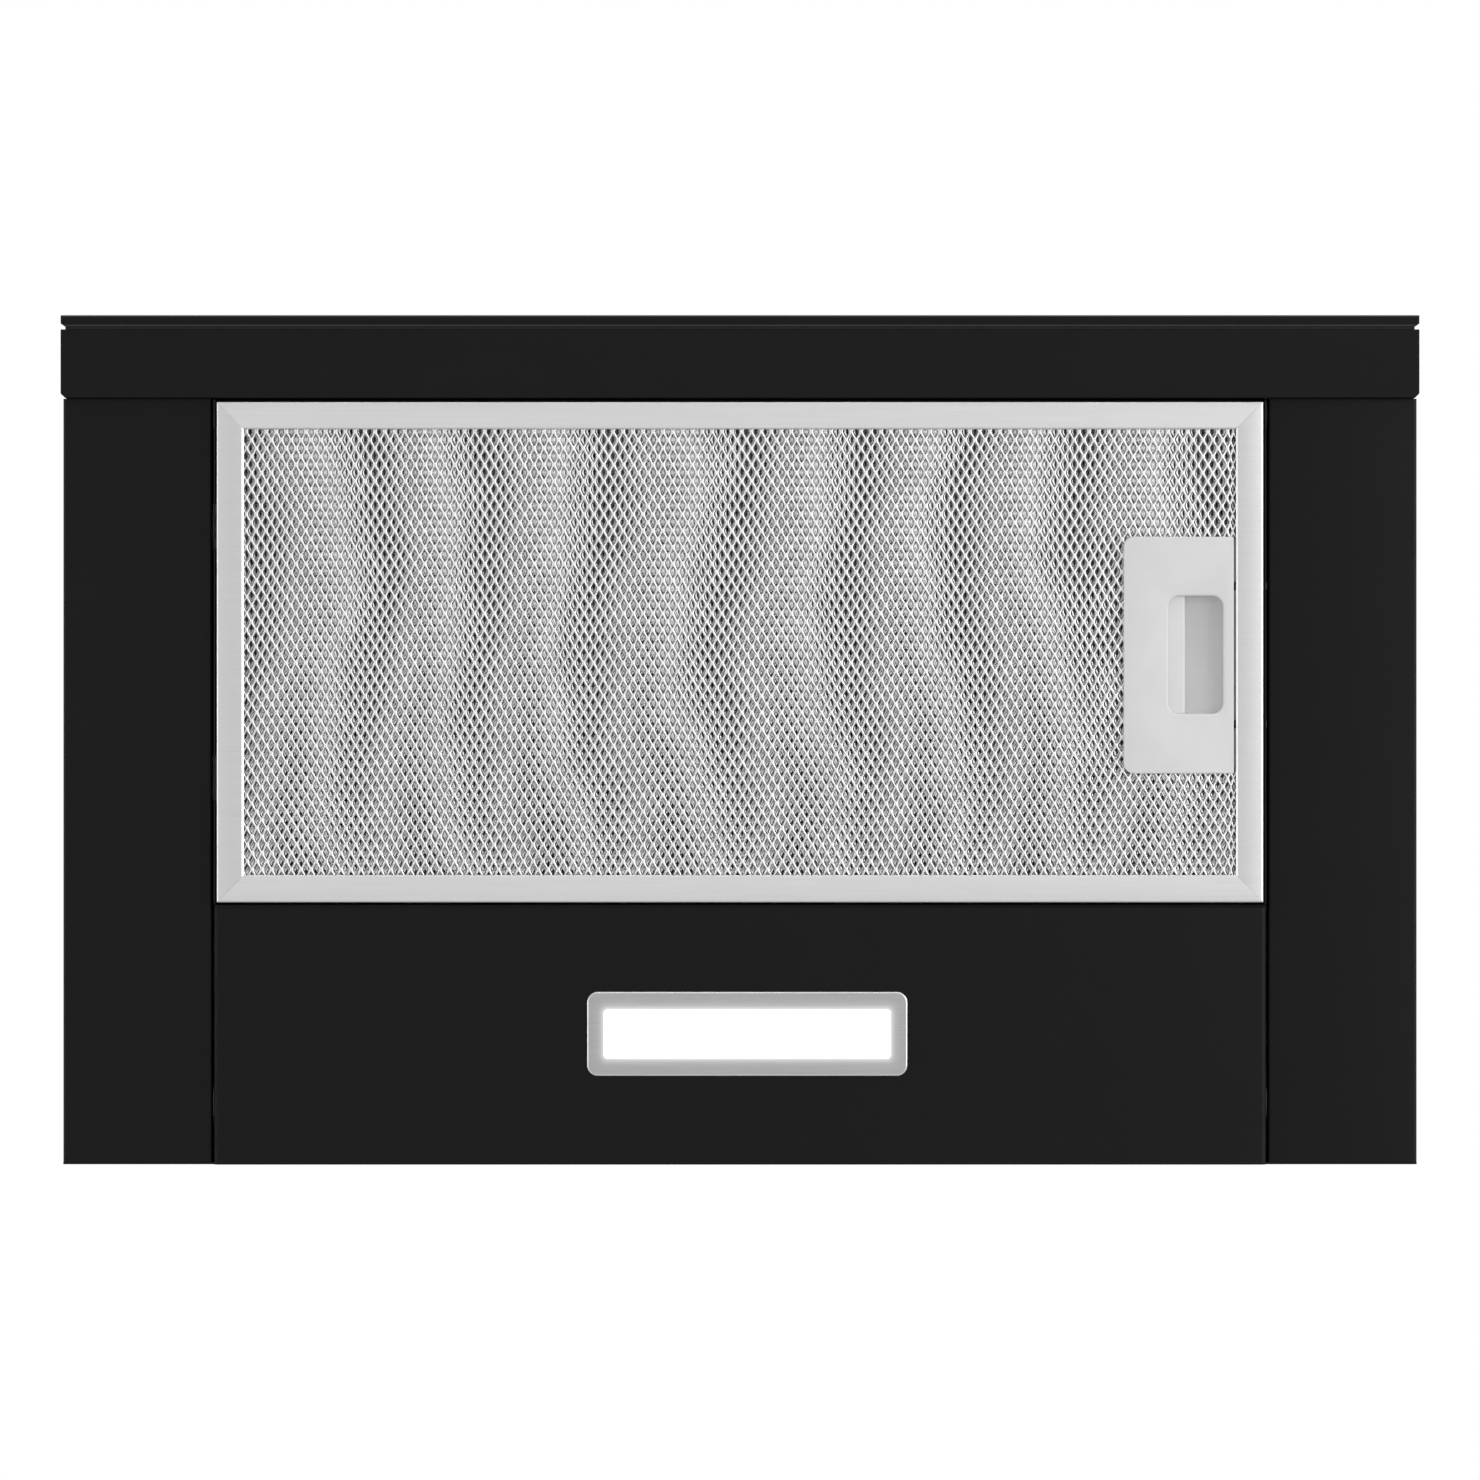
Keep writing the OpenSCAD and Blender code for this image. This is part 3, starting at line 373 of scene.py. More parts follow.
def add_bevel(obj, width, segments=2, weighted=False, angle=SHARP):
    """Rounds the edges sharper than the angle, or those with a bevel weight."""
    made = obj.modifiers.new("edges", "BEVEL")
    made.width = width
    made.segments = segments
    made.use_clamp_overlap = False
    made.harden_normals = True
    made.miter_outer = "MITER_SHARP"
    made.limit_method = "WEIGHT" if weighted else "ANGLE"
    made.angle_limit = math.radians(angle)


def edge_material(obj, material):
    """Gives a piece's rounded edges a material of their own, here always a lighter one that paints a
    highlight on them.
    """
    obj.data.materials.append(material)
    obj.modifiers["edges"].material = 1


def clean_copy(node):
    """The CAD node's shape as a bmesh with its points welded and its flat faces joined."""
    bm = bmesh.new()
    bm.from_mesh(NODES[node].data)
    bmesh.ops.remove_doubles(bm, verts=bm.verts, dist=2e-6)
    bmesh.ops.dissolve_limit(bm, angle_limit=math.radians(0.4), verts=bm.verts, edges=bm.edges)
    bmesh.ops.recalc_face_normals(bm, faces=bm.faces)
    return bm


def mesh_from(bm, name):
    """Turns a bmesh into a mesh and frees it."""
    mesh = bpy.data.meshes.new(name)
    bm.to_mesh(mesh)
    bm.free()
    return mesh


def edged(node, width=0.25 * MM, segments=2, widths=None):
    """A piece in a CAD node's shape, its edges rounded. widths(middle, edge) gives an edge its own radius."""
    bm = clean_copy(node)
    if widths:
        layer = bm.edges.layers.float.new("bevel_weight_edge")
        own = {}
        for e in bm.edges:
            if len(e.link_faces) == 2 and e.calc_face_angle(0) > math.radians(SHARP):
                own[e.index] = (e, widths((e.verts[0].co + e.verts[1].co) / 2, e))
        width = max(w for _, w in own.values())
        for e, w in own.values():
            e[layer] = w / width
    obj = add_object(node + "_piece", smooth(mesh_from(bm, node + "_shape")), node)
    add_bevel(obj, width, segments, weighted=bool(widths))
    return obj


def rounded_path(points, radius):
    """A path with its corners rounded, as (point, unit direction) pairs."""
    pts = [Vector(p).to_2d() for p in points]
    out = [(pts[0], (pts[1] - pts[0]).normalized())]
    for before, here, after in zip(pts, pts[1:], pts[2:]):
        d0, d1 = (here - before).normalized(), (after - here).normalized()
        turn = d0.angle_signed(d1)
        setback = radius * math.tan(abs(turn) / 2)
        start = here - d0 * setback
        count = max(2, int(math.degrees(abs(turn)) / BEND_STEP))
        side = Vector((-d0.y, d0.x)) * (-1 if turn > 0 else 1)
        centre = start + side * radius
        for i in range(count + 1):
            turned = Matrix.Rotation(-turn * i / count, 2)
            out.append((centre + turned @ (start - centre), turned @ d0))
    out.append((pts[-1], (pts[-1] - pts[-2]).normalized()))
    return out


def fold(bm, points, thickness, radius, axis, span):
    """Adds folded sheet metal: a section along points (its middle line), swept along an axis over span."""
    first, second, along = AXES[axis]
    rings = []
    for end in span:
        ring = []
        for p, d in rounded_path(points, radius):
            n = Vector((-d.y, d.x)) * thickness / 2
            for q in (p + n, p - n):
                co = [0.0, 0.0, 0.0]
                co[first], co[second], co[along] = q.x, q.y, end
                ring.append(bm.verts.new(co))
        rings.append(ring)
    a, b = rings
    last = len(a) - 2
    faces = [(a[0], a[1], b[1], b[0]), (a[last], b[last], b[last + 1], a[last + 1])]
    for i in range(0, last, 2):
        faces.append((a[i], b[i], b[i + 2], a[i + 2]))
        faces.append((a[i + 1], a[i + 3], b[i + 3], b[i + 1]))
        faces.append((a[i], a[i + 2], a[i + 3], a[i + 1]))
        faces.append((b[i], b[i + 1], b[i + 3], b[i + 2]))
    made = [bm.faces.new(f) for f in faces]
    bmesh.ops.recalc_face_normals(bm, faces=made)


def lathe(bm, profile, steps):
    """Adds a closed body turned about Z: profile is (radius, height) pairs from axis to axis."""
    rings = []
    for r, h in profile:
        ring = []
        for i in range(steps if r else 1):
            a = 2 * math.pi * i / steps
            ring.append(bm.verts.new((r * math.cos(a), r * math.sin(a), h)))
        rings.append(ring)
    made = []
    for a, b in zip(rings, rings[1:]):
        for i in range(steps):
            j = (i + 1) % steps
            corners = (a[i % len(a)], b[i % len(b)], b[j % len(b)], a[j % len(a)])
            made.append(bm.faces.new(list(dict.fromkeys(corners))))
    bmesh.ops.recalc_face_normals(bm, faces=made)


def outline(lo, hi, radii, inset):
    """A rectangle's outline, pulled in by inset. Its corner radii run anticlockwise from the low corner."""
    corners = [(lo[0], lo[1], 180), (hi[0], lo[1], 270), (hi[0], hi[1], 0), (lo[0], hi[1], 90)]
    points = []
    for (x, y, start), radius in zip(corners, radii):
        r = max(radius - inset, 0.02 * MM)
        cx = x + (inset + r) * (1 if x == lo[0] else -1)
        cy = y + (inset + r) * (1 if y == lo[1] else -1)
        for i in range(CORNER_STEPS + 1):
            a = math.radians(start + 90 * i / CORNER_STEPS)
            points.append((cx + r * math.cos(a), cy + r * math.sin(a)))
    return points


def cap_and_join(bm, loops):
    """Joins rings of points into a closed body and caps its two ends."""
    made = [bm.faces.new(loops[0]), bm.faces.new(loops[-1])]
    for a, b in zip(loops, loops[1:]):
        for i in range(len(a)):
            j = (i + 1) % len(a)
            made.append(bm.faces.new((a[i], a[j], b[j], b[i])))
    bmesh.ops.recalc_face_normals(bm, faces=made)


def loft(bm, lo, hi, radii, profile):
    """Adds a closed body: the rectangle's outline at each (inset, z) of the profile."""
    loops = [[bm.verts.new((x, y, z)) for x, y in outline(lo, hi, radii, inset)] for inset, z in profile]
    cap_and_join(bm, loops)


def rounded_edge(radius, z, rise):
    """Profile rows of a quarter-round edge that starts flat at z and turns towards rise (1 up, -1 down)."""
    rows = []
    for i in range(EDGE_STEPS + 1):
        a = math.radians(90 * i / EDGE_STEPS)
        rows.append((radius * (1 - math.sin(a)), z + rise * radius * (1 - math.cos(a))))
    return rows


def block(bm, lo, hi):
    """Adds a box given by its two corners."""
    lo, hi = Vector(lo), Vector(hi)
    for v in bmesh.ops.create_cube(bm, size=1.0)["verts"]:
        v.co = Vector((lo[i] + (v.co[i] + 0.5) * (hi[i] - lo[i]) for i in range(3)))


def evaluated(obj):
    """The object's mesh after its modifiers, as a new mesh."""
    return bpy.data.meshes.new_from_object(obj.evaluated_get(bpy.context.evaluated_depsgraph_get()))


def cut_with(obj, shape, self_touching=True):
    """Takes a shape out of a piece that has no modifiers yet."""
    tool = linked("tool", mesh_from(shape, "tool"))
    cut = obj.modifiers.new("cut", "BOOLEAN")
    cut.object = tool
    cut.solver = "EXACT"
    cut.use_self = self_touching
    mesh = evaluated(obj)
    obj.modifiers.remove(cut)
    bpy.data.objects.remove(tool)
    obj.data = mesh
    smooth(mesh, FOLD_SHARP)


# ---------- places and sizes

BAND_LO, BAND_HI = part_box("front_profile")
PAN_LO, PAN_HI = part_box("bottom_pan")
FRAME_LO, FRAME_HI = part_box("filter_frame")
PLATE_LO, PLATE_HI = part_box("latch_housing")
SLIDER_LO, SLIDER_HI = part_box("latch_slider")

SHEET = 1.0 * MM
PAN_SHEET = 0.8 * MM
# From the filter's frame to the pan's web behind it, and the width of the ledge above the frame
PAN_GAP = 0.7 * MM
LEDGE = 5.7 * MM
# Width of the filter frame's members, 0.8 mm more than in the CAD, and where the mesh ends on the right
MEMBER_W = 12.2 * MM
FRAME_INNER_X = FRAME_HI.x - MEMBER_W
# The latch's two bolts and the frame's two hook tabs: where each starts in Y, and its width
BOLT_YS = (-69.8 * MM, -8.6 * MM)
BOLT_W = 3.1 * MM
BOLT_PLAY = 0.3 * MM
TAB_YS = (-104.5 * MM, 6.9 * MM)
TAB_W = 20 * MM
TAB_Z = (6.0 * MM, 7.0 * MM)
# The pan's slots for them: play on each side, and from where to where in Z
SLOT_PLAY = 0.6 * MM
BOLT_SLOT_Z = (4.3 * MM, 7.8 * MM)
TAB_SLOT_Z = (5.0 * MM, 8.2 * MM)
# The Z where the bolts' openings in plate and frame start, and up to which the latch's are cut
BOLT_CUT_Z = 4.6 * MM
DEEP = 7.5 * MM


def bolt_spans():
    """The stretches in Y that the bolts need, with play."""
    return [(y - BOLT_PLAY, y + BOLT_W + BOLT_PLAY) for y in BOLT_YS]


# ---------- tray

# How much further forward than in the CAD the side panels reach, to close most of the gap to the band
PANEL_REACH = 0.33 * MM


def is_long(e):
    """Whether an edge runs along the hood's front."""
    return abs((e.verts[1].co - e.verts[0].co).x) > 200 * MM


def trim_edge(_, e):
    """The trim's long edges are rounder than its ends."""
    return (0.75 if is_long(e) else 0.3) * MM


def band_edge(mid, e):
    """The band's front and rear edges are rounder than the rest."""
    near_side = min(mid.y - BAND_LO.y, BAND_HI.y - mid.y) < 1.0 * MM
    return (0.9 if is_long(e) and near_side else 0.25) * MM


def make_front():
    """The drawer's front, seen along the top of the photo: trim bar, gasket groove and band."""
    # The trim's rounded edges take a lighter paint: a painted highlight.
    edge_material(edged("front_trim", segments=3, widths=trim_edge), TRIM_EDGE_HIGHLIGHT)
    edged("front_profile", segments=3, widths=band_edge)
    edged("trim_gasket", 0.3 * MM)


def make_side_panel(name, side):
    """Underside wing, outer wall and inner ledge, bent from one sheet."""
    lo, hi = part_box(name)
    inner, outer = (lo.x, hi.x) if side > 0 else (hi.x, lo.x)
    h = side * SHEET / 2
    ledge_z = PAN_HI.z - SHEET / 2
    path = [(inner + side * 10 * MM, ledge_z), (inner + h, ledge_z), (inner + h, lo.z + SHEET / 2),
            (outer - h, lo.z + SHEET / 2), (outer - h, hi.z)]
    bm = bmesh.new()
    fold(bm, path, SHEET, 1.0 * MM, "Y", (lo.y - PANEL_REACH, hi.y))
    obj = add_object(name + "_bent", smooth(mesh_from(bm, name + "_bent"), FOLD_SHARP), name)
    add_bevel(obj, RIM_BEVEL, angle=RIM_SHARP)


def make_pan():
    """Bottom pan: a tray behind the filter, and the ledges that the filter meets in front and behind."""
    t = PAN_SHEET
    web_y = FRAME_HI.y + PAN_GAP
    rear_y = PAN_HI.y - SHEET - t / 2
    side_x = PAN_HI.x - t / 2
    floor_z = PAN_LO.z + t / 2
    ledge_z = PAN_HI.z - t / 2
    bm = bmesh.new()
    tray = [(-side_x, PAN_HI.z), (-side_x, floor_z), (side_x, floor_z), (side_x, PAN_HI.z)]
    fold(bm, tray, t, 1.7 * MM, "Y", (web_y + t, PAN_HI.y))
    lip = [(web_y - LEDGE, ledge_z), (web_y + t / 2, ledge_z), (web_y + t / 2, floor_z),
           (web_y + 2 * t, floor_z)]
    fold(bm, lip, t, 0.7 * MM, "X", (-side_x, side_x))
    back = [(rear_y, PAN_HI.z), (rear_y, PAN_LO.z + t)]
    fold(bm, back, t, 0.5 * MM, "X", (-side_x, side_x))
    front = [(PAN_LO.y, ledge_z), (PAN_LO.y + LEDGE, ledge_z)]
    fold(bm, front, t, 0.5 * MM, "X", (LEDGE - side_x, side_x - LEDGE))
    obj = add_object("bottom_pan_bent", mesh_from(bm, "pan_shape"), "bottom_pan")
    lamp, half = centre_and_half("lamp_lens")
    around = 2.0 * MM - LENS_FLANGE
    window = bmesh.new()
    block(window, (lamp.x - half.x - around, lamp.y - half.y - around, 0),
          (lamp.x + half.x + around, lamp.y + half.y + around, PAN_HI.z))
    cut_with(obj, window)
    add_bevel(obj, RIM_BEVEL, angle=RIM_SHARP)


def make_pan_side(name, side, starts, width, slot_z):
    """The pan's ledge and flange beside the filter. Its slots start at these places in Y."""
    t = PAN_SHEET
    x = side * (PAN_HI.x - t / 2)
    ledge_z = PAN_HI.z - t / 2
    bm = bmesh.new()
    path = [(x, PAN_LO.z), (x, ledge_z), (x - side * LEDGE, ledge_z)]
    fold(bm, path, t, 0.5 * MM, "Y", (PAN_LO.y, FRAME_HI.y + PAN_GAP))
    obj = add_object(name, mesh_from(bm, name), "bottom_pan")
    slots = bmesh.new()
    for y in starts:
        block(slots, (x - t, y - SLOT_PLAY, slot_z[0]), (x + t, y + width + SLOT_PLAY, slot_z[1]))
    cut_with(obj, slots)
    add_bevel(obj, 0.34 * MM, 3, angle=RIM_SHARP)


def make_tray():
    """The body's underside, and the sheets that close it above and behind."""
    for side, name in ((-1, "side_panel_left"), (1, "side_panel_right")):
        make_side_panel(name, side)
    make_pan()
    make_pan_side("bottom_pan_right", 1, BOLT_YS, BOLT_W, BOLT_SLOT_Z)
    make_pan_side("bottom_pan_left", -1, TAB_YS, TAB_W, TAB_SLOT_Z)
    edged("back_panel", 0.3 * MM)
    edged("deck_plate", 0.25 * MM)
    edged("cross_rails", 0.3 * MM)


# ---------- filter

# A side member's lip and a front or rear member's: where it starts from the inner edge, and its rise
SIDE_LIP = (1.15 * MM, 0.75 * MM)
END_LIP = (0.55 * MM, 0.9 * MM)
LIP_END = 0.35 * MM
TOP_FLANGE_END = 3.4 * MM


def member_rows(lo, hi):
    """A frame's four members: name, axis along it, place of its outer edge, way inwards, span."""
    return (("front", "X", lo.y, 1, (lo.x, hi.x)), ("rear", "X", hi.y, -1, (lo.x, hi.x)),
            ("left", "Y", lo.x, 1, (lo.y, hi.y)), ("right", "Y", hi.x, -1, (lo.y, hi.y)))


def member(name, points, row, node):
    """One mitred member of a frame: its ends are pulled in by the distance from the outer edge."""
    _, axis, outer, inward, span = row
    bm = bmesh.new()
    fold(bm, points, SHEET, 0.55 * MM, axis, span)
    first, _, along = AXES[axis]
    middle = (span[0] + span[1]) / 2
    for v in bm.verts:
        depth = (v.co[first] - outer) * inward
        v.co[along] += depth if v.co[along] < middle else -depth
    mesh = smooth(mesh_from(bm, name), FOLD_SHARP)
    # Side members, along Y, take the darker aluminium: painted shade.
    return add_object(name, mesh, node, SIDE_ALUMINIUM_SHADED if axis == "Y" else None)


def member_section(outer, inward, low, high, is_side):
    """The middle line of a member's sheet, as (distance across the hood, Z). Its lip turns up to the mesh."""
    h = SHEET / 2
    start, rise = SIDE_LIP if is_side else END_LIP
    section = [(MEMBER_W - TOP_FLANGE_END, high - h), (h, high - h), (h, low + h),
               (MEMBER_W - start, low + h), (MEMBER_W - LIP_END, low + h + rise)]
    return [(outer + inward * d, z) for d, z in section]


def make_filter_frame():
    """The filter's frame with its bolt slots, and the hook tabs it hangs by."""
    lo, hi = Vector((-FRAME_HI.x, FRAME_LO.y, FRAME_LO.z)), FRAME_HI
    for row in member_rows(lo, hi):
        name, axis, outer, inward, _ = row
        path = member_section(outer, inward, lo.z, hi.z, axis == "Y")
        obj = member("frame_" + name, path, row, "filter_frame")
        if name == "right":
            slots = bmesh.new()
            for y0, y1 in bolt_spans():
                block(slots, (hi.x - 2 * MM, y0, BOLT_CUT_Z), (hi.x + MM, y1, DEEP))
            cut_with(obj, slots, self_touching=False)
        add_bevel(obj, RIM_BEVEL, angle=RIM_SHARP)
    bm = bmesh.new()
    for y in TAB_YS:
        block(bm, (FRAME_LO.x, y, TAB_Z[0]), (lo.x + 0.5 * MM, y + TAB_W, TAB_Z[1]))
    add_bevel(add_object("filter_hook_tabs", mesh_from(bm, "hook_tabs"), "filter_frame"), 0.3 * MM)


# Expanded mesh, in cells of this pitch in X and Y. BOND is half a joint's length as a share of the pitch.
CELL = (4.38 * MM, 7.3 * MM)
BOND = 0.07
BOND_SPREAD = 0.62
# One period of a strand: its stations, and the neighbour it is joined to (1 right, -1 left, else a leg)
PHASES = np.array([BOND, 0.25, 0.5 - BOND, 0.5 + BOND, 0.75, 1 - BOND])
JOINED = np.array([1.0, -0.1, -1.0, -1.0, 0.1, 1.0])
# Where the strand's ridge stands at each of those, as a share of its width
RIDGE = {-1.0: 0.30, -0.1: 0.50, 0.1: 0.22, 1.0: 0.75}
LEG_BOW = 0.12 * MM
# A strand's width where joined and on its legs, its right and left slope, and the thickness of its back
FRONT_STRAND = (1.60 * MM, 1.60 * MM, 0.50, 0.50, 0.22 * MM)
INNER_STRAND = (1.50 * MM, 1.70 * MM, 0.50, 0.40, 0.0)
CLOSE_STRAND = (1.70 * MM, 1.90 * MM, 0.40, 0.30, 0.0)
EDGE_SQUEEZE = 2.2 * MM


def strand_ring(zig, bond_w, leg_w, right_slope, left_slope, back):
    """A strand's outline at one station, as (across, depth) pairs. zig is one of JOINED's values. The ridge
    shifts with it, so that a joined pair makes one roof."""
    width = bond_w if abs(zig) == 1 else leg_w
    ridge = RIDGE[zig] * width
    left, right = left_slope * ridge, right_slope * (width - ridge)
    ring = [(0.0, left), (ridge, 0.0), (width, right)]
    if back:
        ring.append((width / 2, max(left, right) + back))
    return [(a - width / 2, d) for a, d in ring]


def stations(lo, hi, pitch, bond_w):
    """Each strand's stations, a row for each: X and Y of its middle, and which neighbour it is joined to."""
    px, py = pitch
    strands = int(math.ceil((hi.x - lo.x + EDGE_SQUEEZE) / (px / 2))) + 1
    periods = int(math.ceil((hi.y - lo.y) / py)) + 1
    swing = (px / 2 - BOND_SPREAD * bond_w) / 2
    y = (np.arange(periods)[:, None] + PHASES[None, :]).ravel() * py + lo.y - py / 2
    m = np.arange(strands)
    joined = np.where(m % 2 == 0, 1.0, -1.0)[:, None] * np.tile(JOINED, periods)[None, :]
    x = (lo.x + (m + 0.5) * px / 2)[:, None] + np.where(np.abs(joined) < 1, LEG_BOW, joined * swing)
    return x, np.broadcast_to(y, x.shape), joined


def expanded(name, node, z, pitch, shape, wave, skip, flip=False, material=None):
    """One layer of expanded mesh: strands that zigzag along Y, each joined in turn to its two neighbours.
    shape holds strand_ring's sizes, wave moves points in X and skip leaves some out. It comes in halves."""
    lo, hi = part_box(node)
    x, y, joined = stations(lo, hi, pitch, shape[0])
    x = x + wave(x, y)
    rings = {zig: np.array(strand_ring(zig, *shape)) for zig in RIDGE}
    section = np.zeros(x.shape + rings[1.0].shape)
    for zig, ring in rings.items():
        section[joined == zig] = ring
    points = np.empty(section.shape[:3] + (3,))
    points[..., 0] = x[:, :, None] + section[..., 0]
    points[..., 1] = y[:, :, None]
    points[..., 2] = z + section[..., 1] * (-1 if flip else 1)
    inside = (x > lo.x) & (x < hi.x) & (y > lo.y) & (y < hi.y) & ~skip(x, y)
    keep = inside[:, :-1] & inside[:, 1:]
    m = np.arange(len(x))
    for part, rows in (("west", m < len(m) // 2), ("east", m >= len(m) // 2)):
        strand_piece(f"{name}_{part}", points, keep & rows[:, None], flip, node, material)


def strand_piece(name, points, keep, flip, node, material):
    """Joins neighbouring outlines into quads wherever keep says so."""
    n, k = points.shape[1:3]
    strand, station = np.nonzero(keep)
    a = (strand * n + station) * k
    quads = []
    for j in range(k):
        j2 = (j + 1) % k
        q = np.stack([a + j, a + j2, a + k + j2, a + k + j], axis=1)
        quads.append(q[:, ::-1] if flip else q)
    faces = np.concatenate(quads)
    used, inverse = np.unique(faces, return_inverse=True)
    co = points.reshape(-1, 3)[used]
    mesh = bpy.data.meshes.new(name)
    mesh.vertices.add(len(co))
    mesh.vertices.foreach_set("co", co.astype(np.float32).ravel())
    mesh.loops.add(faces.size)
    mesh.loops.foreach_set("vertex_index", inverse.astype(np.int32).ravel())
    mesh.polygons.add(len(faces))
    mesh.polygons.foreach_set("loop_start", np.arange(0, faces.size, 4, dtype=np.int32))
    mesh.update(calc_edges=True)
    add_object(name, mesh, node, material)


def front_wave(x, y):
    """Small unevenness, and columns squeezed beside the latch plate and along the frame's right edge."""
    near = np.exp(-(((x - (PLATE_LO.x - 4 * MM)) / (9 * MM)) ** 2))
    along = 1 / (1 + np.exp(-(y - PLATE_LO.y) / (3 * MM))) / (1 + np.exp((y - PLATE_HI.y) / (3 * MM)))
    pushed = -1.0 * MM * near * along * (1 + 0.35 * np.sin(y / (5.5 * MM)))
    edge = np.clip((x - (FRAME_INNER_X - 4 * MM)) / (4 * MM + EDGE_SQUEEZE), 0, 1)
    uneven = 0.25 * MM * np.sin(x / (31 * MM) + 1.1) * np.sin(y / (47 * MM))
    uneven += 0.12 * MM * np.sin(y / (9 * MM) + x / (13 * MM))
    return pushed + uneven - EDGE_SQUEEZE * edge ** 2 * (3 - 2 * edge)


def deep_wave(amount, turn, shift=0.0):
    """A slow drift of a hidden layer, so that it falls in and out of step with the front one."""
    def wave(x, y):
        slow = np.sin(y / (29 * MM) + x / (90 * MM) + turn)
        across = np.sin(x / (37 * MM) + 0.7 * np.sin(y / (24 * MM) + turn))
        return shift + amount * (slow + 0.6 * across)
    return wave


def plate_hole(x, y):
    """Where the latch plate takes the mesh's place; strands end just inside the plastic."""
    inset = 1.2 * MM
    return (x > PLATE_LO.x + inset) & (y > PLATE_LO.y + inset) & (y < PLATE_HI.y - inset)


def make_filter_mesh():
    """Three layers at the front and one at the back. The third stands half a strand beside the second, so it
    shows in the second's gaps."""
    lo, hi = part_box("filter_mesh")
    deep_cell = (0.925 * CELL[0], 0.99 * CELL[1])
    second, third = deep_wave(0.4 * MM, 0.0), deep_wave(0.4 * MM, 0.0, deep_cell[0] / 4)
    # The second layer's metal is darker: painted shade.
    layers = (("front", lo.z, CELL, FRONT_STRAND, front_wave, None),
              ("second", lo.z + 0.55 * MM, deep_cell, INNER_STRAND, second, MESH_SECOND_SHADED),
              ("third", lo.z + 0.85 * MM, deep_cell, CLOSE_STRAND, third, MESH_DEEP),
              ("back", hi.z, CELL, INNER_STRAND, deep_wave(0.3 * MM, 1.0), None))
    for name, z, cell, strand, wave, material in layers:
        expanded("mesh_" + name, "filter_mesh", z, cell, strand, wave, plate_hole, name == "back", material)


# The latch plate's corners and right edge, its finger recess, and the cove in the recess's right wall
PLATE_CORNER = 4.5 * MM
PLATE_EDGE_X = 218.1 * MM
RECESS_RIM = 0.9 * MM
RECESS_CORNER = 4.9 * MM
RECESS_LO, RECESS_HI = (189.2 * MM, -63.7 * MM), (213.4 * MM, -11.6 * MM)
COVE_W, COVE_H = 6.2 * MM, 5.0 * MM
COVE_STEPS = 8
# The slider has its flat bar left of its step and its bolts right of it. Its pocket starts further left.
SLIDER_STEP_X = 196.7 * MM
POCKET_X, POCKET_Z = 176 * MM, 2.6 * MM
TONGUE_TOP = 7.8 * MM


def tongue_spans():
    """The stretches of the tongue behind the frame's edge, between and beside the two bolts."""
    stops = [PLATE_LO.y + 0.4 * MM]
    for span in bolt_spans():
        stops += span
    stops.append(PLATE_HI.y - 0.4 * MM)
    return list(zip(stops[::2], stops[1::2]))


def recess_shape():
    """The finger recess as a solid, less the cove that its right wall rises in."""
    bm = bmesh.new()
    rows = [(-RECESS_RIM, PLATE_LO.z - 0.5 * MM)]
    rows += [(-inset, z) for inset, z in rounded_edge(RECESS_RIM, PLATE_LO.z, 1)]
    rows += reversed(rounded_edge(1.2 * MM, DEEP, -1))
    loft(bm, RECESS_LO, RECESS_HI, (RECESS_CORNER,) * 4, rows)
    foot, top = RECESS_HI[0] - COVE_W, DEEP - COVE_H
    corner = [(RECESS_HI[0] + 2 * MM, top), (RECESS_HI[0] + 2 * MM, DEEP + MM), (foot, DEEP + MM)]
    for i in range(COVE_STEPS + 1):
        a = math.radians(90 * i / COVE_STEPS)
        corner.append((foot + COVE_W * math.sin(a), top + COVE_H * math.cos(a)))
    cove = bmesh.new()
    ends = (RECESS_LO[1] - MM, RECESS_HI[1] + MM)
    cap_and_join(cove, [[cove.verts.new((x, y, z)) for x, z in corner] for y in ends])
    holder = linked("recess", mesh_from(bm, "recess"))
    cut_with(holder, cove)
    shape = bmesh.new()
    shape.from_mesh(holder.data)
    bpy.data.objects.remove(holder)
    return shape


def in_recess(x, y, z):
    """Whether a point of the plate is on the recess's inside, right of the slider."""
    inside = SLIDER_STEP_X < x < RECESS_HI[0] and RECESS_LO[1] < y < RECESS_HI[1]
    return inside and z > PLATE_LO.z + 1.2 * RECESS_RIM


def make_plate():
    """The latch plate with its finger recess, and the pockets that the slider and its bolts run in."""
    bm = bmesh.new()
    sharp = 0.3 * MM
    loft(bm, (PLATE_LO.x, PLATE_LO.y), (PLATE_EDGE_X, PLATE_HI.y), (PLATE_CORNER, sharp, sharp, PLATE_CORNER),
         rounded_edge(0.45 * MM, PLATE_LO.z, 1) + [(0.0, PLATE_HI.z)])
    obj = add_object("latch_plate", mesh_from(bm, "latch_plate"), "latch_housing")
    spans = bolt_spans()
    tool = recess_shape()
    block(tool, (POCKET_X, spans[0][0], POCKET_Z), (SLIDER_STEP_X + BOLT_PLAY, spans[-1][1], DEEP))
    for y0, y1 in spans:
        block(tool, (SLIDER_STEP_X, y0, BOLT_CUT_Z), (PLATE_HI.x + MM, y1, DEEP))
    cut_with(obj, tool)
    # The recess's inside right of the slider takes the darker plastic: painted shade.
    obj.data.materials.append(RECESS_SHADE_PLASTIC)
    for face in obj.data.polygons:
        face.material_index = 1 if in_recess(*face.center) else 0


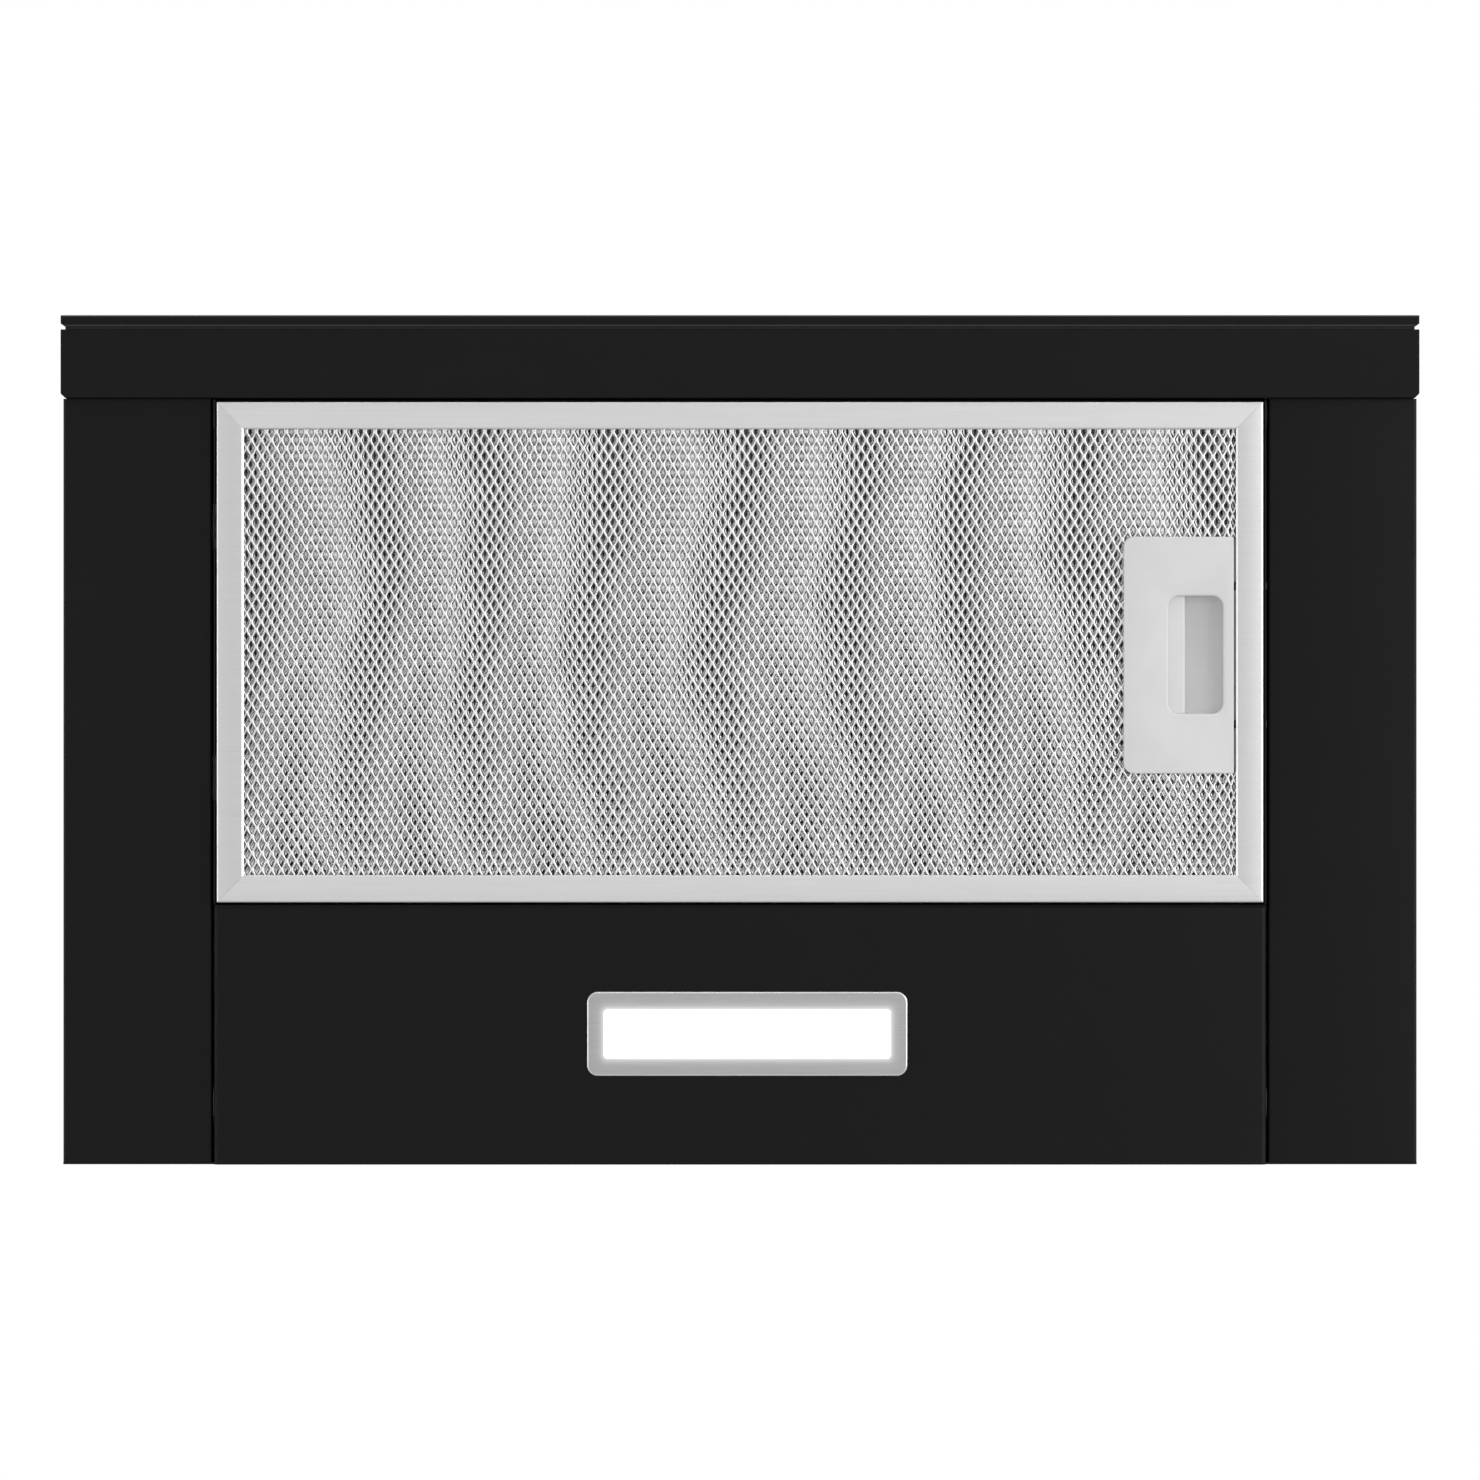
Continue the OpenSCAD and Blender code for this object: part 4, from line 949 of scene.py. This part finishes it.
def make_latch():
    """The latch plate, its tongue behind the frame's edge, and the slider with its two bolts."""
    make_plate()
    bm = bmesh.new()
    for y0, y1 in tongue_spans():
        block(bm, (PLATE_EDGE_X - 0.5 * MM, y0, BOLT_CUT_Z), (PLATE_HI.x, y1, TONGUE_TOP))
    add_bevel(add_object("latch_tongue", mesh_from(bm, "latch_tongue"), "latch_housing"), 0.2 * MM)
    lo, hi = SLIDER_LO, SLIDER_HI
    bm = bmesh.new()
    loft(bm, (lo.x, lo.y), (SLIDER_STEP_X, hi.y), (1.0 * MM,) * 4,
         rounded_edge(1.0 * MM, lo.z, 1) + [(0.0, hi.z)])
    add_object("latch_slider_bar", smooth(mesh_from(bm, "latch_slider_shape"), RIM_SHARP), "latch_slider")
    bm = bmesh.new()
    for y in BOLT_YS:
        block(bm, (SLIDER_STEP_X - MM, y, BOLT_CUT_Z + BOLT_PLAY), (hi.x, y + BOLT_W, hi.z))
    bolts = add_object("latch_bolts", mesh_from(bm, "latch_bolts"), "latch_slider", BOLT_PLASTIC)
    add_bevel(bolts, 0.35 * MM, 3)


# ---------- lamp

def bezel_edge(mid, _):
    """The bezel is round along its outer edge, and nearly sharp round the lens and above."""
    centre, half = centre_and_half("lamp_bezel")
    if mid.z - (centre.z - half.z) > 0.01 * MM:
        return 0.05 * MM
    outer = abs(mid.x - centre.x) > half.x - 4 * MM or abs(mid.y - centre.y) > half.y - 4 * MM
    return (0.75 if outer else 0.2) * MM


def make_lamp():
    # The bezel's rounded edges take a lighter metal: a painted highlight.
    edge_material(edged("lamp_bezel", segments=4, widths=bezel_edge), BEZEL_RIM_HIGHLIGHT)
    edged("lamp_lens", 0.15 * MM)


# ---------- upper parts

# Screw heads' height and threads' pitch
HEAD_H = 2.0 * MM
THREAD = 0.7 * MM
# Width of the drawer filter's frame members
EXTENSION_MEMBER_W = 10 * MM
# Beads on the motor box: width, rise, rows up the walls, and the roof's, which clear the collar
BEAD_W = 10 * MM
BEAD_RISE = 1.0 * MM
BEAD_ROWS_Z = (74 * MM, 112 * MM, 150 * MM)
ROOF_BEAD_X, ROOF_BEAD_Y = 110 * MM, 60 * MM
# These keep their CAD shape; the number is the radius of their edges in mm
ROUNDED = {
    "motor_box": 0.35, "box_frame": 0.3, "mounting_bracket_left": 0.5, "mounting_bracket_right": 0.5,
    "slide_outer_left": 0.25, "slide_outer_right": 0.25, "slide_inner_left": 0.25, "slide_inner_right": 0.25,
    "drawer_arm_left": 0.25, "drawer_arm_right": 0.25, "drawer_pan": 0.25, "visor_plate": 0.25,
    "collar_flange": 0.3, "duct_collar": 0.3, "damper_flap_front": 0.2, "damper_flap_rear": 0.2,
    "blower_scroll": 0.25, "scroll_cover": 0.25, "inlet_guard": 0.3, "motor_can": 0.5, "motor_bracket": 0.4,
    "capacitor": 1.2, "terminal_box": 0.5, "terminal_lid": 0.5, "led_driver": 0.8, "cable_gland": 0.4,
    "lamp_housing": 0.3, "drawer_switch": 0.4, "control_board": 0.1,
    "button_off": 0.5, "button_low": 0.5, "button_high": 0.5, "button_lamp": 0.5,
}


def islands(node):
    """The separate bodies in a CAD node, as lists of points."""
    bm = clean_copy(node)
    seen, found = set(), []
    for start in bm.verts:
        if start in seen:
            continue
        stack, group = [start], []
        seen.add(start)
        while stack:
            v = stack.pop()
            group.append(v.co.copy())
            for e in v.link_edges:
                other = e.other_vert(v)
                if other not in seen:
                    seen.add(other)
                    stack.append(other)
        found.append(group)
    bm.free()
    return found


def screw_shape(head_r, shank_r, length):
    """A pan-head screw along +Z, its head's seat at zero, with a cross recess."""
    bm = bmesh.new()
    profile = [(0.0, HEAD_H)]
    for i in range(1, 8):
        a = math.radians(90 * i / 7)
        profile.append((head_r * math.sin(a), HEAD_H * (0.45 + 0.55 * math.cos(a))))
    profile += [(head_r, 0.08 * HEAD_H), (0.97 * head_r, 0.0), (shank_r, 0.0)]
    turns = max(2, int(length / THREAD))
    for i in range(turns):
        z = -length * (i + 0.5) / turns
        profile += [(shank_r, z + 0.2 * MM), (0.86 * shank_r, z)]
    profile += [(shank_r, -length + 0.05 * MM), (0.8 * shank_r, -length), (0.0, -length)]
    lathe(bm, profile, 28)
    holder = linked("screw", mesh_from(bm, "screw"))
    cross = bmesh.new()
    for a, b in ((0.55, 0.13), (0.13, 0.55)):
        block(cross, (-a * head_r, -b * head_r, 0.4 * HEAD_H), (a * head_r, b * head_r, HEAD_H * 1.1))
    cut_with(holder, cross)
    mesh = holder.data
    bpy.data.objects.remove(holder)
    return mesh


def measure_screw(points):
    """A screw's axis, corners, head radius, shank radius, and the end its head is at (1 high, -1 low)."""
    lo = Vector(min(p[i] for p in points) for i in range(3))
    hi = Vector(max(p[i] for p in points) for i in range(3))
    size, centre = hi - lo, (lo + hi) / 2
    along = max(range(3), key=lambda i: abs(size[i] - (sum(size) - size[i]) / 2))
    first, second = [i for i in range(3) if i != along]

    def widest(end):
        return max(math.hypot(p[first] - centre[first], p[second] - centre[second])
                   for p in points if abs(p[along] - end[along]) < 0.1 * MM)

    at_top, at_foot = widest(hi), widest(lo)
    return along, lo, hi, max(at_top, at_foot), min(at_top, at_foot), 1 if at_top > at_foot else -1


def make_screws(node):
    """One screw for each of the node's bodies, its head where the wide end is."""
    shapes, bm = {}, bmesh.new()
    for points in islands(node):
        along, lo, hi, head_r, shank_r, up = measure_screw(points)
        length = hi[along] - lo[along]
        key = (round(length / MM, 2), round(head_r / MM, 2))
        if key not in shapes:
            shapes[key] = screw_shape(head_r, shank_r, length - HEAD_H)
        seat, axis = (lo + hi) / 2, Vector((0, 0, 0))
        seat[along] = hi[along] - HEAD_H if up > 0 else lo[along] + HEAD_H
        axis[along] = up
        start = len(bm.verts)
        bm.from_mesh(shapes[key])
        bm.verts.ensure_lookup_table()
        turn = Vector((0, 0, 1)).rotation_difference(axis).to_matrix().to_4x4()
        bmesh.ops.transform(bm, matrix=Matrix.Translation(seat) @ turn, verts=bm.verts[start:])
    add_object(node + "_turned", smooth(mesh_from(bm, node + "_shape"), FOLD_SHARP), node)


def make_springs():
    """The latch's two coil springs, which shorten as the slider is pulled, kept here in their CAD shape."""
    mesh = smooth(mesh_from(clean_copy("latch_springs"), "springs_shape"), WIRE_SHARP)
    obj = add_object("latch_springs_wound", mesh, "latch_springs")
    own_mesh(obj)


def nowhere(x, _):
    """No opening in the mesh."""
    return np.zeros(x.shape, bool)


def make_extension():
    """The drawer's own grease filter: a mitred frame with mesh in it."""
    lo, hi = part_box("extension_frame")
    h = SHEET / 2
    for row in member_rows(lo, hi):
        name, _, outer, inward, _ = row
        wall, lip = outer + inward * h, outer + inward * EXTENSION_MEMBER_W
        path = [(lip, hi.z - h), (wall, hi.z - h), (wall, lo.z + h), (lip, lo.z + h)]
        obj = member("extension_" + name, path, row, "extension_frame")
        add_bevel(obj, RIM_BEVEL, angle=RIM_SHARP)
    lo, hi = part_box("extension_mesh")
    expanded("extension_lower", "extension_mesh", lo.z, CELL, INNER_STRAND, deep_wave(0.2 * MM, 0.5), nowhere)
    expanded("extension_upper", "extension_mesh", hi.z, (0.96 * CELL[0], CELL[1]), INNER_STRAND,
             deep_wave(0.4 * MM, 1.5), nowhere, flip=True)


def bead(bm, lo, hi, level, rise, axis):
    """A shallow pressed bead on a flat wall: lo and hi are its corners in the wall's plane."""
    radius = min(hi[0] - lo[0], hi[1] - lo[1]) / 2
    start = len(bm.verts)
    profile = [(0.0, -0.4 * MM), (0.0, 0.0)]
    profile += [(inset * BEAD_RISE, up * BEAD_RISE) for inset, up in ((0.25, 0.5), (0.8, 0.9), (1.8, 1.0))]
    loft(bm, lo, hi, (radius * 0.999,) * 4, profile)
    bm.verts.ensure_lookup_table()
    for v in bm.verts[start:]:
        a, b, c = v.co
        out = level + rise * c
        v.co = {"Y": (a, out, b), "X": (out, a, b), "Z": (a, b, out)}[axis]


def make_beads():
    """Stiffening beads pressed out of the motor box's walls and roof."""
    lo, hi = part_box("motor_box")
    bm = bmesh.new()
    h = BEAD_W / 2
    for z in BEAD_ROWS_Z:
        bead(bm, (lo.x + 40 * MM, z - h), (hi.x - 40 * MM, z + h), lo.y, -1, "Y")
        for level, rise in ((lo.x, -1), (hi.x, 1)):
            bead(bm, (lo.y + 35 * MM, z - h), (hi.y - 35 * MM, z + h), level, rise, "X")
    for x0, x1 in ((lo.x + 30 * MM, -ROOF_BEAD_X), (ROOF_BEAD_X, hi.x - 30 * MM)):
        for y in (-ROOF_BEAD_Y, ROOF_BEAD_Y):
            bead(bm, (x0, y - h), (x1, y + h), hi.z, 1, "Z")
    bmesh.ops.recalc_face_normals(bm, faces=bm.faces)
    add_object("motor_box_beads", smooth(mesh_from(bm, "beads"), FOLD_SHARP), "motor_box")


# ---------- the rest, from the CAD shapes

make_front()
make_tray()
make_filter_frame()
make_filter_mesh()
make_latch()
make_lamp()
make_extension()
make_springs()
make_screws("body_screws")
make_screws("drawer_screws")
make_beads()
for plain, radius in ROUNDED.items():
    edged(plain, radius * MM)

REPLACED = {n for o in bpy.data.objects for n in o.get("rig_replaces", [])}
for name in NODES:
    if name not in REPLACED:
        NODES[name].data.materials.clear()
        NODES[name].data.materials.append(MATERIALS[SLOT_OF[name]])
        smooth(NODES[name].data)


# ---------- studio

# The room's brightness on the left and right, and the share of it left towards the front and rear
WORLD_LEFT = 0.575
WORLD_RIGHT = 0.60
WORLD_ENDS = 0.8
FLOOR_Z = -3.2
FLOOR_HALF = 120.0
# The camera's lens and sensor in mm, and the width it sees at Z = 0 in metres
LENS = 150.0
SENSOR = 36.0
VIEW_WIDTH = 0.6534


def make_world():
    """A white room, a little brighter on the right and dimmer towards the front and rear. To the camera it is
    plain white."""
    world = bpy.data.worlds.new("studio")
    bpy.context.scene.world = world
    world.use_nodes = True
    tree = world.node_tree
    tree.nodes.clear()
    direction = add_node(tree, "ShaderNodeTexCoord").outputs["Generated"]
    xyz = add_node(tree, "ShaderNodeSeparateXYZ", {"Vector": direction})
    side = remap(tree, xyz.outputs["X"], WORLD_LEFT, WORLD_RIGHT, -1.0, 1.0)
    ends = calc(tree, "POWER", xyz.outputs["Y"], 2.0)
    dim = remap(tree, ends, 1.0, WORLD_ENDS, 0.0, 1.0)
    level = calc(tree, "MULTIPLY", side, dim)
    room = add_node(tree, "ShaderNodeBackground", {"Color": WHITE, "Strength": level})
    backdrop = add_node(tree, "ShaderNodeBackground", {"Color": WHITE, "Strength": 1.0})
    seen = add_node(tree, "ShaderNodeLightPath").outputs["Is Camera Ray"]
    mixed = add_node(tree, "ShaderNodeMixShader", {0: seen, 1: room.outputs[0], 2: backdrop.outputs[0]})
    tree.links.new(mixed.outputs[0], add_node(tree, "ShaderNodeOutputWorld").inputs["Surface"])


def make_floor():
    """A plain pale floor."""
    bm = bmesh.new()
    corners = [(-1, -1), (1, -1), (1, 1), (-1, 1)]
    bm.faces.new([bm.verts.new((FLOOR_HALF * x, FLOOR_HALF * y, FLOOR_Z)) for x, y in corners])
    floor = linked("floor", mesh_from(bm, "floor"))
    s = Surface("floor_pale", Roughness=0.9)
    s.vary_colour(s.noise(1.5, 2), grey(0.80), grey(0.83))
    floor.data.materials.append(s.material)


def softbox(name, place, size, radiance):
    """A large soft light that faces the object and isn't seen by the camera."""
    data = bpy.data.lights.new(name, "AREA")
    data.shape = "RECTANGLE"
    data.size, data.size_y = size
    data.energy = radiance * math.pi * size[0] * size[1]
    light = linked(name, data)
    light.location = place
    light.rotation_euler = (-Vector(place)).to_track_quat("-Z", "Y").to_euler()
    light.visible_camera = False


def make_lights():
    """Places and sizes in metres."""
    softbox("right", (2.3, -0.45, -1.3), (2.0, 3.6), 1.8)
    softbox("left_shade", (-1.85, 0.1, -1.6), (1.7, 3.0), 0.22)
    softbox("left_rim", (-2.4, 0.0, -0.3), (0.6, 2.6), 1.8)
    softbox("front", (0.3, -2.4, -0.8), (3.0, 0.8), 1.5)
    softbox("above", (-1.6, -2.2, 2.4), (1.6, 1.6), 3.0)


def make_camera():
    """Straight up at the underside, front edge at the top of the frame."""
    data = bpy.data.cameras.new("camera")
    data.sensor_width = SENSOR
    data.lens = LENS
    data.clip_end = 100.0
    camera = linked("camera", data)
    camera.location = (0, 0, -VIEW_WIDTH * LENS / SENSOR)
    camera.rotation_euler = (math.pi, 0, 0)
    bpy.context.scene.camera = camera


make_world()
make_floor()
make_lights()
make_camera()
bpy.context.scene.view_settings.view_transform = "Standard"
